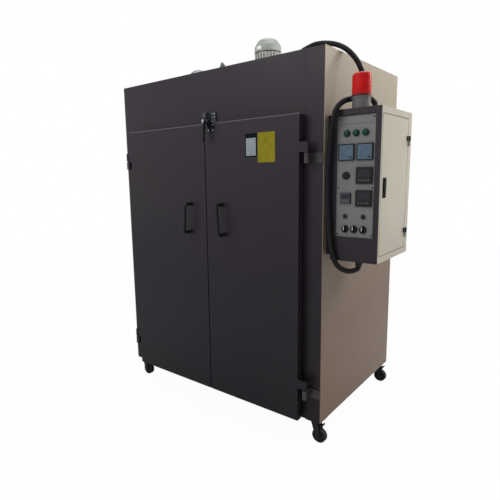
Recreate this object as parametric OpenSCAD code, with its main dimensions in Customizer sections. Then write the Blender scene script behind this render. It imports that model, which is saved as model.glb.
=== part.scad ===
/* [Cabinet] */
// Width of the cabinet body
body_w = 1400; // [1200:10:1700]
// Depth of the cabinet body
body_d = 940; // [840:10:1200]
// Height of the cabinet body above the caster plates
body_h = 1800; // [1700:10:2000]
// Thickness of an insulated wall
wall_t = 100; // [80:5:120]
// Thickness of the outer sheet skin
skin_t = 3; // [2:0.5:5]
// Height of the welded base frame
base_h = 60; // [50:5:90]
// Width of a rail of the base frame
base_rail = 80; // [60:5:100]
// Thickness of the insulated floor inside the base frame
floor_t = 54; // [40:2:60]
// Depth of the front frame
frame_d = 40; // [30:1:60]
// Height of the header above the doors
header_h = 284; // [240:2:320]
// Thickness of the duct panels beside the chamber
duct_t = 2; // [1.5:0.5:4]
// Pitch of the slots in the duct panels
slot_pitch = 110; // [90:5:160]
// Height of a slot in the duct panels
slot_h = 22; // [12:1:40]
// Plain margin round the slots of the duct panels
duct_margin = 60; // [40:5:100]
// Plain margin at the sides of the ceiling's slots
grille_margin = 80; // [60:5:140]
// Plain margin at the front and rear of the ceiling's slots
grille_end = 120; // [80:5:200]

/* [Doors] */
// Width of the jamb that shows beside a door
jamb_show = 100; // [90:1:120]
// Lap of a door over the frame
door_lap = 40; // [30:1:50]
// Height of the doors' lower edge above the body's bottom
door_foot = 4; // [2:1:20]
// Gap between the two doors
door_gap = 6; // [5:0.5:12]
// Distance of the door gap right of the cabinet's middle
door_meet = 22; // [0:1:40]
// Thickness of a door's overlay slab
door_t = 38; // [30:1:50]
// Depth of the door's insulation plug
plug_d = 40; // [20:1:60]
// Clearance between the plug and the opening
plug_gap = 14; // [12:1:24]
// Thickness of the door gasket
gasket_t = 12; // [8:1:16]
// Width of the door gasket
gasket_w = 16; // [10:1:22]
// Clearance between a closed door and its gasket
seat_gap = 0.3; // [0.2:0.1:0.6]

/* [Hinges] */
// Distance of a hinge pin in from the cabinet's side
hinge_in = 65; // [55:1:75]
// Distance of a hinge pin in front of the frame
hinge_out = 45; // [42:1:55]
// Radius of a hinge pin
pin_r = 5; // [4:0.5:7]
// Wall of a hinge knuckle
knuckle_wall = 6; // [4:0.5:9]
// Height of a hinge knuckle
knuckle_h = 46; // [36:1:56]
// Gap between the two knuckles of a hinge
knuckle_gap = 5; // [3:0.5:8]
// Height of the lower hinge above the body's bottom
hinge_low = 130; // [100:5:260]
// Distance of the upper hinge below the doors' top
hinge_drop = 226; // [180:2:300]
// Thickness of a hinge strap
strap_t = 5; // [4:0.5:8]
// Radial clearance of a turning pin
pin_play = 0.05; // [0.03:0.01:0.1]

/* [Handles and latch] */
// Distance of a handle from the middle of the door gap
handle_in = 120; // [90:5:160]
// Height of the handles' lower end above the body's bottom
handle_z = 918; // [800:2:1000]
// Length of a handle
handle_h = 178; // [140:2:240]
// Distance from the door to a handle's outer face
handle_reach = 61; // [44:1:70]
// Width of a handle's grip
grip_w = 18; // [12:1:22]
// Lean of the handles' upper ends towards the door gap, in degrees
handle_lean = 4.5; // [0:0.5:8]
// Distance of the latch from the middle of the door gap
latch_in = 49; // [50:1:100]
// Width of the latch plate
latch_w = 42; // [36:1:56]
// Height of the latch plate
latch_h = 41; // [38:1:60]
// Distance of the latch pivot from the door's face
latch_out = 28; // [26:1:36]
// Radius of the latch hub
hub_r = 14; // [12:0.5:17]
// Length of the latch lever
lever_l = 103; // [80:1:140]
// Height of the strike block
strike_h = 50; // [40:1:70]
// Width of the strike block
strike_w = 62; // [44:1:70]
// Distance that the strike stands in front of the frame
strike_d = 48; // [30:1:50]
// Distance of the strike's middle right of the door gap
strike_in = 13; // [8:1:16]

/* [Control box] */
// Width of the control box
box_w = 220; // [190:5:280]
// Depth of the control box
box_d = 400; // [340:10:480]
// Height of the control box
box_h = 670; // [640:10:760]
// Height of the control box above the body's bottom
box_z = 846; // [780:2:900]
// Gap between the cabinet and the control box
box_gap = 36; // [30:1:50]
// Thickness of the box's sheet
box_t = 2; // [1.5:0.5:3]
// Thickness of the box's front frame
fascia_t = 8; // [6:1:14]
// Width of the front frame's side bars
stile_w = 24; // [18:1:30]
// Width of the front frame's top bar
fascia_top = 30; // [24:1:40]
// Width of the front frame's bottom bar
fascia_foot = 111; // [90:1:140]
// Margin round the box's side door
side_margin = 32; // [24:1:40]
// Margin of the box's side door at its front edge
side_front = 14; // [12:1:30]
// Margin of the box's side door at its rear edge
side_rear = 48; // [30:1:60]
// Gap round the box's side door
side_seam = 4; // [2:0.5:5]
// Thickness of the box's side door
side_door_t = 4; // [3:0.5:8]
// Thickness of the mounting plate inside the box
plate_t = 2.5; // [2:0.5:4]
// Distance of the mounting plate behind the box's front
plate_front = 110; // [90:5:160]
// Margin above and below the mounting plate
plate_margin = 40; // [20:5:80]
// Width of a square meter or controller
meter_w = 72; // [60:1:76]
// Width of the timer
timer_w = 48; // [40:1:60]
// Distance that a bezel stands in front of the panel
bezel_d = 9; // [6:1:12]
// Depth of an instrument behind the panel
case_d = 80; // [60:5:120]
// Radius of a lamp or a knob
lamp_r = 15; // [11:0.5:16]
// Height of the side door's lock plate
lock_h = 86; // [60:1:110]
// Width of the side door's lock plate
lock_w = 36; // [24:1:44]
// Height of a knuckle of the side door's hinges
side_hinge_h = 22; // [14:1:30]

/* [Beacon] */
// Radius of the beacon's dome
dome_r = 41; // [34:1:50]
// Height of the beacon's dome
dome_h = 100; // [70:2:130]
// Height of the beacon's base
beacon_h = 50; // [30:2:60]
// Distance of the beacon from the box's front
beacon_y = 53; // [54:1:90]

/* [Roof] */
// Radius of the fan motor's cowl
cowl_r = 83; // [66:1:90]
// Height of the fan motor above the roof
motor_h = 276; // [260:2:340]
// Height of the motor's cowl
cowl_h = 82; // [80:2:120]
// Distance of the motor's axis from the frame's front
motor_y = 600; // [500:10:680]
// Radius of the exhaust pipe
exhaust_r = 45; // [38:1:48]
// Thickness of the exhaust pipe
exhaust_t = 2; // [1.5:0.5:4]
// Distance of the exhaust pipe left of the middle
exhaust_x = 366; // [280:5:420]
// Distance of the exhaust pipe from the frame's front
exhaust_y = 300; // [240:5:400]
// Height of the exhaust pipe's upright neck
exhaust_neck = 18; // [12:1:40]
// Radius of the exhaust pipe's bend at its middle
exhaust_bend = 50; // [50:1:60]
// Length of the exhaust pipe's level end
exhaust_l = 90; // [84:1:140]
// Distance from the bend to the damper's spindle
damper_y = 22; // [18:1:26]
// Distance of the damper's lever from the exhaust pipe
damper_out = 109; // [60:2:140]
// Length of the damper's lever
damper_l = 80; // [50:2:90]
// Angle of the damper's lever behind the vertical
damper_tilt = 30; // [0:5:90]

/* [Casters] */
// Height of a caster
caster_h = 125; // [112:1:145]
// Radius of a caster wheel
wheel_r = 37; // [32:1:42]
// Width of a caster wheel
wheel_w = 30; // [24:1:36]
// Distance of a swivel axis in from the cabinet's sides
caster_in = 42; // [41:1:90]
// Distance of the wheel's axle from the swivel axis
trail = 20; // [18:1:32]
// Thickness of a caster's fork
fork_t = 3.5; // [3:0.5:5]
// Width of a caster's top plate
caster_plate = 80; // [60:2:82]

/* [Hidden] */
$fn = 64;
eps = 0.01;

// Heights above the floor
body_z = caster_h;
roof_z = body_z + body_h;
door_z0 = body_z + door_foot;
door_z1 = roof_z - header_h;
open_z0 = body_z + base_h;
open_z1 = door_z1 - door_lap;

// Widths from the middle of the cabinet
side_x = body_w / 2;
door_x = side_x - jamb_show;
open_x = door_x - door_lap;
inner_y = body_d - wall_t;

// Fronts, measured towards the viewer from the frame's face
door_back = gasket_t + seat_gap;
door_face = door_back + door_t;
pin_x = side_x - hinge_in;
knuckle_r = pin_r + knuckle_wall;
hinge_z = [body_z + hinge_low, door_z1 - hinge_drop];

// Latch
latch_x = door_meet + latch_in;
latch_z = door_z1 + 8;
lever_w = 12;
ear_t = 5;
latch_play = 0.3;
head_l = 14;
head_x = latch_x - lever_w / 2 - ear_t - latch_play - 5.7 - head_l;
strike_x = door_meet + strike_in;

// Control box
box_x = side_x + box_gap;
box_mid = box_x + box_w / 2;
box_z0 = body_z + box_z;
box_z1 = box_z0 + box_h;
box_side = box_x + box_w;
panel_y = fascia_t;
window_x = box_x + stile_w;
window_w = box_w - 2 * stile_w;
window_z = box_z0 + fascia_foot;
window_h = box_h - fascia_foot - fascia_top;
side_lap = 10;
hinge_r = 5;
side_pin_x = box_side + seat_gap + hinge_r;
side_y0 = fascia_t + side_front;
side_y1 = box_d - side_rear;
side_z0 = box_z0 + side_margin;
side_z1 = box_z1 - side_margin;
side_pin_y = side_y1 + side_seam + 4;
side_hinge_z = [box_z0 + 80, box_z1 - 154];
lock_y = side_y0 + 36;
lock_z = box_z0 + box_h / 2 - 6;

// Rows of instruments, measured down from the window's top
lamp_row = 0.14 * window_h;
meter_row = 0.293 * window_h;
upper_row = 0.484 * window_h;
lower_row = 0.671 * window_h;
button_row = 0.824 * window_h;
selector_row = 0.932 * window_h;
column_dx = 41.5;

// The part's origin is the middle of its footprint on the floor
reach_left = side_x;
reach_right = side_pin_x + hinge_r;
reach_front = door_face + handle_reach;
origin_x = (reach_right - reach_left) / 2;
origin_y = (body_d - reach_front) / 2;

// Fan motor
fin_h = 12;
fin_out = 9;
motor_r = cowl_r - fin_h;
terminal_w = 110;
terminal_h = 70;
terminal_z = 40;
terminal_out = 30;
terminal_face = motor_y - terminal_w / 2;
spindle_r = 5;

cabinet_paint = [0.24, 0.22, 0.25];
side_paint = [0.86, 0.84, 0.78];
dark_metal = [0.12, 0.12, 0.13];

// Puts the cabinet's own frame, which has the frame's face at y = 0, over the origin
module place() {
  translate([-origin_x, -origin_y, 0]) children();
}

module block(x0, x1, y0, y1, z0, z1) {
  translate([x0, y0, z0]) cube([x1 - x0, y1 - y0, z1 - z0]);
}

// A square ring standing in the plane of the front
module front_ring(x0, x1, y0, y1, z0, z1, bar) {
  difference() {
    block(x0, x1, y0, y1, z0, z1);
    block(x0 + bar, x1 - bar, y0 - 1, y1 + 1, z0 + bar, z1 - bar);
  }
}

module base_frame() color(cabinet_paint) place() {
  difference() {
    block(-side_x + skin_t, side_x - skin_t, 0, body_d - skin_t, body_z, open_z0);
    block(-side_x + base_rail, side_x - base_rail, base_rail, body_d - base_rail,
      body_z - 1, open_z0 + 1);
  }
}

module floor_panel() color("silver") place() {
  block(-side_x + base_rail, side_x - base_rail, base_rail, body_d - base_rail,
    open_z0 - floor_t, open_z0);
}

// An insulated side wall whose skin runs down over the base frame and forward over the jamb
module side_wall() {
  block(side_x - skin_t, side_x, 0, frame_d + eps, body_z, roof_z);
  rotate([90, 0, 0]) translate([0, 0, -body_d]) linear_extrude(body_d - frame_d)
    polygon([[side_x - skin_t, body_z], [side_x, body_z], [side_x, roof_z],
      [side_x - wall_t, roof_z], [side_x - wall_t, open_z0], [side_x - skin_t, open_z0]]);
}

module left_wall() color(side_paint) place() mirror([1, 0, 0]) side_wall();

module right_wall() color(side_paint) place() side_wall();

module back_wall() color(side_paint) place() {
  block(-side_x + wall_t, side_x - wall_t, inner_y, body_d, open_z0, roof_z);
  block(-side_x + wall_t, side_x - wall_t, body_d - skin_t, body_d, body_z, open_z0 + 1);
}

module roof() color(side_paint) place() {
  difference() {
    block(-side_x + wall_t, side_x - wall_t, frame_d, inner_y, roof_z - wall_t, roof_z);
    translate([-exhaust_x, exhaust_y, roof_z - wall_t - 1])
      cylinder(r = exhaust_r - exhaust_t, h = wall_t + 2);
  }
}

module header() color(cabinet_paint) place() {
  block(-door_x, door_x, 0, frame_d, open_z1, roof_z);
}

// A jamb, with the strip beside the opening that the door laps over
module jamb() {
  rotate([90, 0, 0]) translate([0, 0, -frame_d]) linear_extrude(frame_d)
    polygon([[open_x, open_z0], [side_x - skin_t, open_z0], [side_x - skin_t, roof_z],
      [door_x, roof_z], [door_x, open_z1], [open_x, open_z1]]);
}

module left_jamb() color(cabinet_paint) place() mirror([1, 0, 0]) jamb();

module right_jamb() color(cabinet_paint) place() jamb();

module door_gasket() color("dimgray") place() {
  front_ring(-open_x - gasket_w, open_x + gasket_w, -gasket_t, 0,
    open_z0 - gasket_w, open_z1 + gasket_w, gasket_w);
}

// A slotted sheet that spreads the air over the height of the chamber
module duct_panel() {
  count = floor((open_z1 - open_z0 - 2 * duct_margin) / slot_pitch);
  slot_l = (inner_y - frame_d) / 2 - duct_margin;
  difference() {
    block(open_x, open_x + duct_t, frame_d, inner_y, open_z0, open_z1 + duct_t);
    for (i = [0 : count], y = [frame_d + duct_margin * 2 / 3, (frame_d + inner_y) / 2 + duct_margin / 3])
      translate([open_x - 1, y, open_z0 + duct_margin + i * slot_pitch])
        cube([duct_t + 2, slot_l, slot_h]);
  }
}

module left_duct() color("silver") place() mirror([1, 0, 0]) duct_panel();

module right_duct() color("silver") place() duct_panel();

module ceiling_grille() color("silver") place() {
  slots = 9;
  pitch = 2 * (open_x - grille_margin) / slots;
  difference() {
    block(-open_x, open_x, frame_d, inner_y, open_z1, open_z1 + duct_t);
    for (i = [0 : slots - 1])
      translate([-open_x + grille_margin + i * pitch, frame_d + grille_end, open_z1 - 1])
        cube([pitch / 2, inner_y - frame_d - 2 * grille_end, duct_t + 2]);
  }
}

// The frame's half of a hinge: strap on the jamb up to the corner, web, knuckle and pin
module frame_hinge(z) {
  top = z + knuckle_h;
  block(pin_x - knuckle_r, side_x - skin_t, -strap_t, 0, z, top);
  block(pin_x - knuckle_wall, pin_x + knuckle_wall, -hinge_out, -strap_t + eps, z, top);
  translate([pin_x, -hinge_out, z]) cylinder(r = knuckle_r, h = knuckle_h);
  translate([pin_x, -hinge_out, top]) cylinder(r = pin_r, h = knuckle_gap + knuckle_h - 4);
}

module frame_hinges() color(cabinet_paint) place() {
  for (z = hinge_z) {
    frame_hinge(z);
    mirror([1, 0, 0]) frame_hinge(z);
  }
}

// A door on the right of the gap's middle: overlay slab, insulation plug and two hinge knuckles
module door(meet) {
  plug_x0 = meet + door_gap / 2 + plug_gap;
  knuckle_z = [for (z = hinge_z) z + knuckle_h + knuckle_gap];
  difference() {
    union() {
      block(meet + door_gap / 2, door_x, -door_face, -door_back, door_z0, door_z1);
      block(plug_x0, open_x - plug_gap, -door_back - eps, plug_d - door_back,
        open_z0 + plug_gap, open_z1 - plug_gap);
      for (z = knuckle_z) {
        translate([pin_x, -hinge_out, z]) cylinder(r = knuckle_r, h = knuckle_h);
        block(door_x - 1, pin_x, -hinge_out - knuckle_wall + 1, -hinge_out + knuckle_wall,
          z, z + knuckle_h);
      }
    }
    for (z = knuckle_z)
      translate([pin_x, -hinge_out, z - 1])
        cylinder(r = pin_r + pin_play, h = knuckle_h + 2);
  }
}

module left_door() color(cabinet_paint) place() mirror([1, 0, 0]) door(-door_meet);

module right_door() color(cabinet_paint) place() door(door_meet);

// A bow handle bent from round bar: two legs on round feet, two bends and the grip
module handle() {
  bar_r = grip_w / 2;
  bend = bar_r + 5;
  leg = handle_reach - bar_r - bend;
  reach = handle_h - 2 * (bar_r + bend);
  translate([handle_in, -door_face, body_z + handle_z + handle_h / 2]) rotate([0, -handle_lean, 0])
    union() {
      for (s = [-1, 1]) translate([0, 0, s * reach / 2]) {
        translate([0, 0, s * bend]) rotate([90, 0, 0]) cylinder(r = bar_r, h = leg + eps);
        translate([0, 0, s * bend]) rotate([90, 0, 0]) cylinder(r = bar_r + 4, h = 3);
        translate([0, -leg, 0]) intersection() {
          rotate([0, 90, 0]) rotate_extrude() translate([bend, 0]) circle(r = bar_r);
          block(-bar_r - 1, bar_r + 1, -bend - bar_r - 1, 0, min(0, s * handle_h), max(0, s * handle_h));
        }
      }
      translate([0, -leg - bend, -reach / 2 - eps]) cylinder(r = bar_r, h = reach + 2 * eps);
    }
}

module left_handle() color("black") place() translate([door_meet, 0, 0]) mirror([1, 0, 0]) handle();

module right_handle() color("black") place() translate([door_meet, 0, 0]) handle();

module latch_base() color(dark_metal) place() {
  x0 = latch_x - latch_w / 2;
  block(x0, x0 + latch_w, -door_face - ear_t, -door_face, door_z1 - latch_h - 4, door_z1 - 4);
  difference() {
    for (s = [-1, 1])
      translate([latch_x + s * (lever_w / 2 + latch_play + ear_t / 2) - ear_t / 2, 0, 0])
        rotate([90, 0, 90]) linear_extrude(ear_t) union() {
          translate([-door_face - latch_out, latch_z]) circle(r = 9);
          polygon([[-door_face - 1, door_z1 - latch_h], [-door_face - 1, door_z1 - 4],
            [-door_face - latch_out + 3, latch_z + 7],
            [-door_face - latch_out - 7, latch_z - 5]]);
        }
    translate([x0, -door_face - latch_out, latch_z]) rotate([0, 90, 0])
      cylinder(r = pin_r / 2 + pin_play, h = latch_w);
  }
}

// The lever hangs from its round head beside the ears, and its pin carries a cam between them
module latch_lever() color("silver") place() {
  translate([latch_x - lever_w / 2, -door_face - latch_out, latch_z]) rotate([0, 90, 0])
    cylinder(r = hub_r - 4, h = lever_w);
  translate([head_x, -door_face - latch_out, latch_z]) rotate([0, 90, 0]) {
    cylinder(r = pin_r / 2, h = latch_x + lever_w / 2 + ear_t + 2 - head_x);
    cylinder(r = hub_r - 2, h = head_l);
    translate([0, 0, 2]) cylinder(r = hub_r, h = head_l - 4);
  }
  translate([head_x + 1, -door_face - latch_out, latch_z]) rotate([90, 0, 90])
    linear_extrude(head_l - 2) polygon([[-hub_r + 4, -4], [4, -4], [1, -40], [-4, -lever_l + 8],
      [-8, -lever_l], [-16, -lever_l], [-17, -lever_l + 8], [-13, -40]]);
}

// A screwed plate with a gusset that stands out over the lever's head
module strike() color(dark_metal) place() {
  z0 = door_z1 + 10;
  block(strike_x - strike_w / 2, strike_x + strike_w / 2, -8, 0, z0, z0 + strike_h);
  translate([strike_x - strike_w / 2 + 4, 0, z0]) rotate([90, 0, 90]) linear_extrude(22)
    polygon([[-8 + eps, 4], [-strike_d, 22], [-strike_d, strike_h - 6], [-strike_d + 8, strike_h],
      [-8 + eps, strike_h]]);
}

module motor_body() color([0.62, 0.64, 0.6]) place() {
  flange_h = 14;
  body_h = motor_h - cowl_h;
  fins = 28;
  translate([0, motor_y, roof_z]) {
    cylinder(r = cowl_r + 20, h = flange_h);
    translate([0, 0, flange_h - eps]) cylinder(r = motor_r, h = body_h - flange_h + eps);
    for (i = [0 : fins - 1]) if (abs(i * 360 / fins - 180) > 55)
      rotate([0, 0, i * 360 / fins]) translate([motor_r - 2, -2, flange_h + 10])
        cube([fin_h + fin_out + 2, 4, body_h - flange_h - 17]);
  }
}

// The fan's cowl: a drawn cap in three steps over a rolled rim, open below round the motor
module motor_cowl() color([0.5, 0.54, 0.5]) place() {
  translate([0, motor_y, roof_z + motor_h - cowl_h]) rotate_extrude()
    polygon([[0, 0], [motor_r - 8, 0], [motor_r - 8, 0.36 * cowl_h], [cowl_r - 4, 0.36 * cowl_h],
      [cowl_r - 4, 0], [cowl_r - 1, 0], [cowl_r + 2, 2], [cowl_r + 2, 6], [cowl_r, 9],
      [cowl_r, 0.44 * cowl_h], [cowl_r - 3, 0.5 * cowl_h], [cowl_r - 8, 0.63 * cowl_h],
      [cowl_r - 11, 0.66 * cowl_h], [cowl_r - 17, 0.81 * cowl_h], [cowl_r - 21, 0.85 * cowl_h],
      [cowl_r - 30, 0.95 * cowl_h], [cowl_r - 44, 0.985 * cowl_h], [cowl_r - 60, cowl_h],
      [0, cowl_h]]);
}

// The box lies against the motor's body, in the gap that the fins leave at its left
module motor_terminal_box() color([0.62, 0.64, 0.6]) place() {
  z = roof_z + terminal_z;
  difference() {
    union() {
      block(-cowl_r - terminal_out, 0, terminal_face, motor_y + terminal_w / 2, z, z + terminal_h);
      block(-cowl_r - terminal_out - 5, 1 - cowl_r - terminal_out, terminal_face - 2,
        motor_y + terminal_w / 2 + 2, z - 2, z + terminal_h + 2);
    }
    translate([0, motor_y, z - 3]) cylinder(r = motor_r, h = terminal_h + 6);
  }
}

// Neck, bend and level end of the exhaust pipe at one radius, each end longer by more
module exhaust_run(r, more) {
  translate([0, 0, -more]) cylinder(r = r, h = exhaust_neck + more);
  translate([0, exhaust_bend, exhaust_neck]) {
    intersection() {
      rotate([0, 90, 0]) rotate_extrude() translate([exhaust_bend, 0]) circle(r = r);
      block(-r - 1, r + 1, -exhaust_bend - r - 1, 0, 0, exhaust_bend + r + 1);
    }
    translate([0, 0, exhaust_bend]) rotate([-90, 0, 0]) cylinder(r = r, h = exhaust_l + more);
  }
}

// The exhaust pipe turns to the back: flange, bend, the damper's bearings and a bead for the duct
module exhaust_pipe() color("slategray") place() translate([-exhaust_x, exhaust_y, roof_z]) {
  bearing = 9;
  level = exhaust_neck + exhaust_bend;
  difference() {
    union() {
      cylinder(r = exhaust_r + 18, h = 3);
      exhaust_run(exhaust_r, 0);
      translate([-exhaust_r - bearing, exhaust_bend + damper_y, level]) rotate([0, 90, 0])
        cylinder(r = spindle_r + 4, h = 2 * (exhaust_r + bearing));
      translate([0, exhaust_bend + damper_y + 14, level]) rotate([-90, 0, 0])
        cylinder(r = exhaust_r + 2.5, h = 4);
    }
    exhaust_run(exhaust_r - exhaust_t, 1);
    translate([-exhaust_r - bearing - 1, exhaust_bend + damper_y, level]) rotate([0, 90, 0])
      cylinder(r = spindle_r + pin_play, h = 2 * (exhaust_r + bearing + 1));
  }
}

// A butterfly damper in the pipe, with its spindle and the lever at the spindle's end
module damper() color("slategray") place()
  translate([-exhaust_x, exhaust_y + exhaust_bend + damper_y, roof_z + exhaust_neck + exhaust_bend])
  rotate([-damper_tilt, 0, 0]) {
    lever_x = exhaust_r + damper_out;
    translate([-exhaust_r - 16, 0, 0]) rotate([0, 90, 0])
      cylinder(r = spindle_r, h = lever_x + exhaust_r + 16);
    rotate([90, 0, 0]) translate([0, 0, -1]) cylinder(r = exhaust_r - exhaust_t - 9, h = 2);
    translate([lever_x, 0, 0]) rotate([90, 0, 90]) linear_extrude(4)
      polygon([[-10, -10], [10, -10], [21, damper_l * 0.5], [21, damper_l - 8], [14, damper_l],
        [-14, damper_l], [-21, damper_l - 8], [-21, damper_l * 0.5]]);
  }

module box_bracket() color(dark_metal) place() {
  block(side_x, box_x, frame_d, box_d - 20, box_z0 + 16, box_z1 - 16);
}

// A block over the side door's area of the box, grown by g on its four sides
module side_area(x0, x1, g) {
  block(x0, x1, side_y0 - g, side_y1 + g, side_z0 - g, side_z1 + g);
}

// The box's folded sheet body, open in front. At its right a folded ledge stands behind the door
module box_shell() color(side_paint) place() {
  ledge_x = box_side - side_door_t - seat_gap;
  difference() {
    union() {
      difference() {
        block(box_x, box_side, fascia_t, box_d, box_z0, box_z1);
        block(box_x + box_t, box_side - box_t, fascia_t - 1, box_d - box_t,
          box_z0 + box_t, box_z1 - box_t);
      }
      side_area(ledge_x - box_t, box_side - box_t + eps, side_seam + box_t);
    }
    side_area(ledge_x, box_side + 1, side_seam);
    side_area(ledge_x - box_t - 1, box_side + 1, -side_lap);
  }
  for (z = side_hinge_z) {
    block(box_side - eps, side_pin_x, side_pin_y + 1, side_pin_y + 16, z, z + side_hinge_h);
    translate([side_pin_x, side_pin_y, z]) cylinder(r = hinge_r, h = side_hinge_h);
    translate([side_pin_x, side_pin_y, z + side_hinge_h - eps])
      cylinder(r = hinge_r / 2, h = side_hinge_h);
    block(side_pin_x - 2, side_pin_x, side_pin_y, side_pin_y + 2, z, z + side_hinge_h);
  }
}

module box_door() color(side_paint) place() {
  difference() {
    union() {
      side_area(box_side - side_door_t, box_side, 0);
      for (z = side_hinge_z) {
        k = z + side_hinge_h + 1;
        block(box_side - 1, side_pin_x, side_pin_y - 24, side_y1, k, k + side_hinge_h);
        block(box_side + seat_gap, side_pin_x, side_y1 - 1, side_pin_y, k, k + side_hinge_h);
        translate([side_pin_x, side_pin_y, k]) cylinder(r = hinge_r, h = side_hinge_h);
      }
    }
    for (z = side_hinge_z) translate([side_pin_x, side_pin_y, z + side_hinge_h])
      cylinder(r = hinge_r / 2 + pin_play, h = side_hinge_h + 2);
    block(box_side - side_door_t - 1, box_side + 1, lock_y - 8, lock_y + 8, lock_z - 24, lock_z + 24);
  }
}

// A flush lock in the side door, with its case behind the sheet
module box_lock() color("black") place() {
  block(box_side, box_side + 2.5, lock_y - lock_w / 2, lock_y + lock_w / 2,
    lock_z - lock_h / 2, lock_z + lock_h / 2);
  block(box_side + 2, box_side + 5, lock_y - lock_w / 2 + 6, lock_y + lock_w / 2 - 6,
    lock_z - lock_h / 2 + 24, lock_z + lock_h / 2 - 6);
  translate([box_side + 2, lock_y, lock_z - lock_h / 2 + 13]) rotate([0, 90, 0])
    cylinder(r = 8, h = 3);
  block(box_side - 18, box_side + eps, lock_y - 8, lock_y + 8, lock_z - 24, lock_z + 24);
}

module box_fascia() color(cabinet_paint) place() {
  difference() {
    block(box_x, box_side, 0, fascia_t, box_z0, box_z1);
    block(window_x, window_x + window_w, -1, fascia_t + 1, window_z, window_z + window_h);
    block(window_x - 3, window_x + window_w + 3, -1, fascia_t / 4, window_z - 3,
      window_z + window_h + 3);
  }
}

// A place on the panel: column 0 is the left one, and down is measured from the window's top
module on_panel(column, down) {
  translate([box_mid + column * column_dx, panel_y, window_z + window_h - down])
    rotate([90, 0, 0]) children();
}

module square_hole(w) {
  translate([-w / 2, -w / 2, -20]) cube([w, w, 40]);
}

case_w = meter_w - 8;
timer_case_w = timer_w - 6;
stem_r = 8;

module instrument_panel() color("lightgray") place() {
  difference() {
    block(box_x + box_t, box_side - box_t, panel_y, panel_y + box_t, box_z0 + box_t, box_z1 - box_t);
    for (c = [-1, 1]) on_panel(c, meter_row) square_hole(case_w);
    for (down = [upper_row, lower_row]) on_panel(1, down) square_hole(case_w);
    on_panel(-1, lower_row) square_hole(timer_case_w);
    for (c = [-1, 0, 1]) on_panel(c, lamp_row)
      translate([0, 0, -20]) cylinder(r = stem_r, h = 40);
    for (c = [-1, 0, 1]) on_panel(c, selector_row)
      translate([0, 0, -20]) cylinder(r = stem_r, h = 40);
    on_panel(-1, upper_row) translate([0, 0, -20]) cylinder(r = stem_r, h = 40);
    for (c = [-1, 1]) on_panel(c, button_row)
      translate([0, 0, -20]) cylinder(r = stem_r / 2, h = 40);
  }
}

module lamps() color("green") place() {
  for (c = [-1, 0, 1]) on_panel(c, lamp_row) {
    cylinder(r = lamp_r, h = 5);
    cylinder(r = lamp_r - 2, h = 14);
    translate([0, 0, -40]) cylinder(r = stem_r, h = 41);
  }
}

// A square instrument: bezel in front of the panel and case behind it
module instrument(w, inner) {
  translate([-w / 2, -w / 2, 0]) cube([w, w, bezel_d]);
  translate([-inner / 2, -inner / 2, -case_d]) cube([inner, inner, case_d + 1]);
}

// A pointer meter: its scale lies deep behind a narrow rim, with the pointer's hub low at the right
module meters() color(dark_metal) place() {
  face = meter_w - 8;
  for (c = [-1, 1]) on_panel(c, meter_row) {
    difference() {
      instrument(meter_w, case_w);
      translate([-face / 2, -face / 2, bezel_d - 3]) cube([face, face, 4]);
    }
    translate([0.3 * meter_w, -0.3 * meter_w, bezel_d - 3 - eps]) cylinder(r = 4, h = 4.5);
  }
}

// A digital controller: a display window above a row of keys, both sunk in the bezel
module controller(w, inner) {
  difference() {
    instrument(w, inner);
    translate([-0.4 * w, -0.08 * w, bezel_d - 2]) cube([0.8 * w, 0.46 * w, 3]);
    translate([-0.4 * w, -0.4 * w, bezel_d - 1]) cube([0.8 * w, 0.24 * w, 2]);
  }
  for (i = [-1.5 : 1.5]) translate([(i * 0.19 - 0.07) * w, -0.34 * w, bezel_d - 1 - eps])
    cube([0.14 * w, 0.12 * w, 1.6]);
}

module controllers() color(dark_metal) place() {
  for (down = [upper_row, lower_row]) on_panel(1, down) controller(meter_w, case_w);
  on_panel(-1, lower_row) controller(timer_w, timer_case_w);
}

module push_buttons() color(dark_metal) place() {
  on_panel(-1, upper_row) {
    cylinder(r = lamp_r + 2, h = 9);
    translate([0, 0, -40]) cylinder(r = stem_r, h = 41);
  }
  for (c = [-1, 1]) on_panel(c, button_row) {
    cylinder(r = 8, h = 7);
    translate([0, 0, -20]) cylinder(r = stem_r / 2, h = 21);
  }
}

// A rotary switch knob with its grip
module selector(column) {
  on_panel(column, selector_row) {
    translate([0, 0, seat_gap]) cylinder(r = lamp_r + 2, h = 4);
    translate([0, 0, seat_gap + 4 - eps]) cylinder(r = lamp_r - 1, h = 4);
    translate([-4, -lamp_r, seat_gap + 7]) cube([8, 2 * lamp_r, 11]);
    translate([0, 0, -18]) cylinder(r = stem_r - pin_play, h = 19 + seat_gap);
  }
}

module selector_1() color("black") place() selector(-1);
module selector_2() color("black") place() selector(0);
module selector_3() color("black") place() selector(1);

module mounting_plate() color("silver") place() {
  block(box_x + box_t, box_x + box_t + plate_t, plate_front, box_d - plate_margin / 2,
    box_z0 + plate_margin, box_z1 - plate_margin);
}

module beacon_base() color("dimgray") place() {
  translate([box_mid, beacon_y, box_z1]) {
    cylinder(r = dome_r - 2, h = beacon_h - 8);
    translate([0, 0, beacon_h - 8 - eps]) cylinder(r = dome_r, h = 8 + eps);
  }
}

module beacon_dome() color("red") place() {
  round_r = dome_r * 0.6;
  translate([box_mid, beacon_y, box_z1 + beacon_h]) rotate_extrude() union() {
    square([dome_r - round_r, dome_h]);
    square([dome_r, dome_h - round_r]);
    translate([dome_r - round_r, dome_h - round_r]) intersection() {
      circle(r = round_r);
      square(round_r);
    }
  }
}

conduit_r = 12.5;
gland_r = 18;
gland_h = 24;

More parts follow.
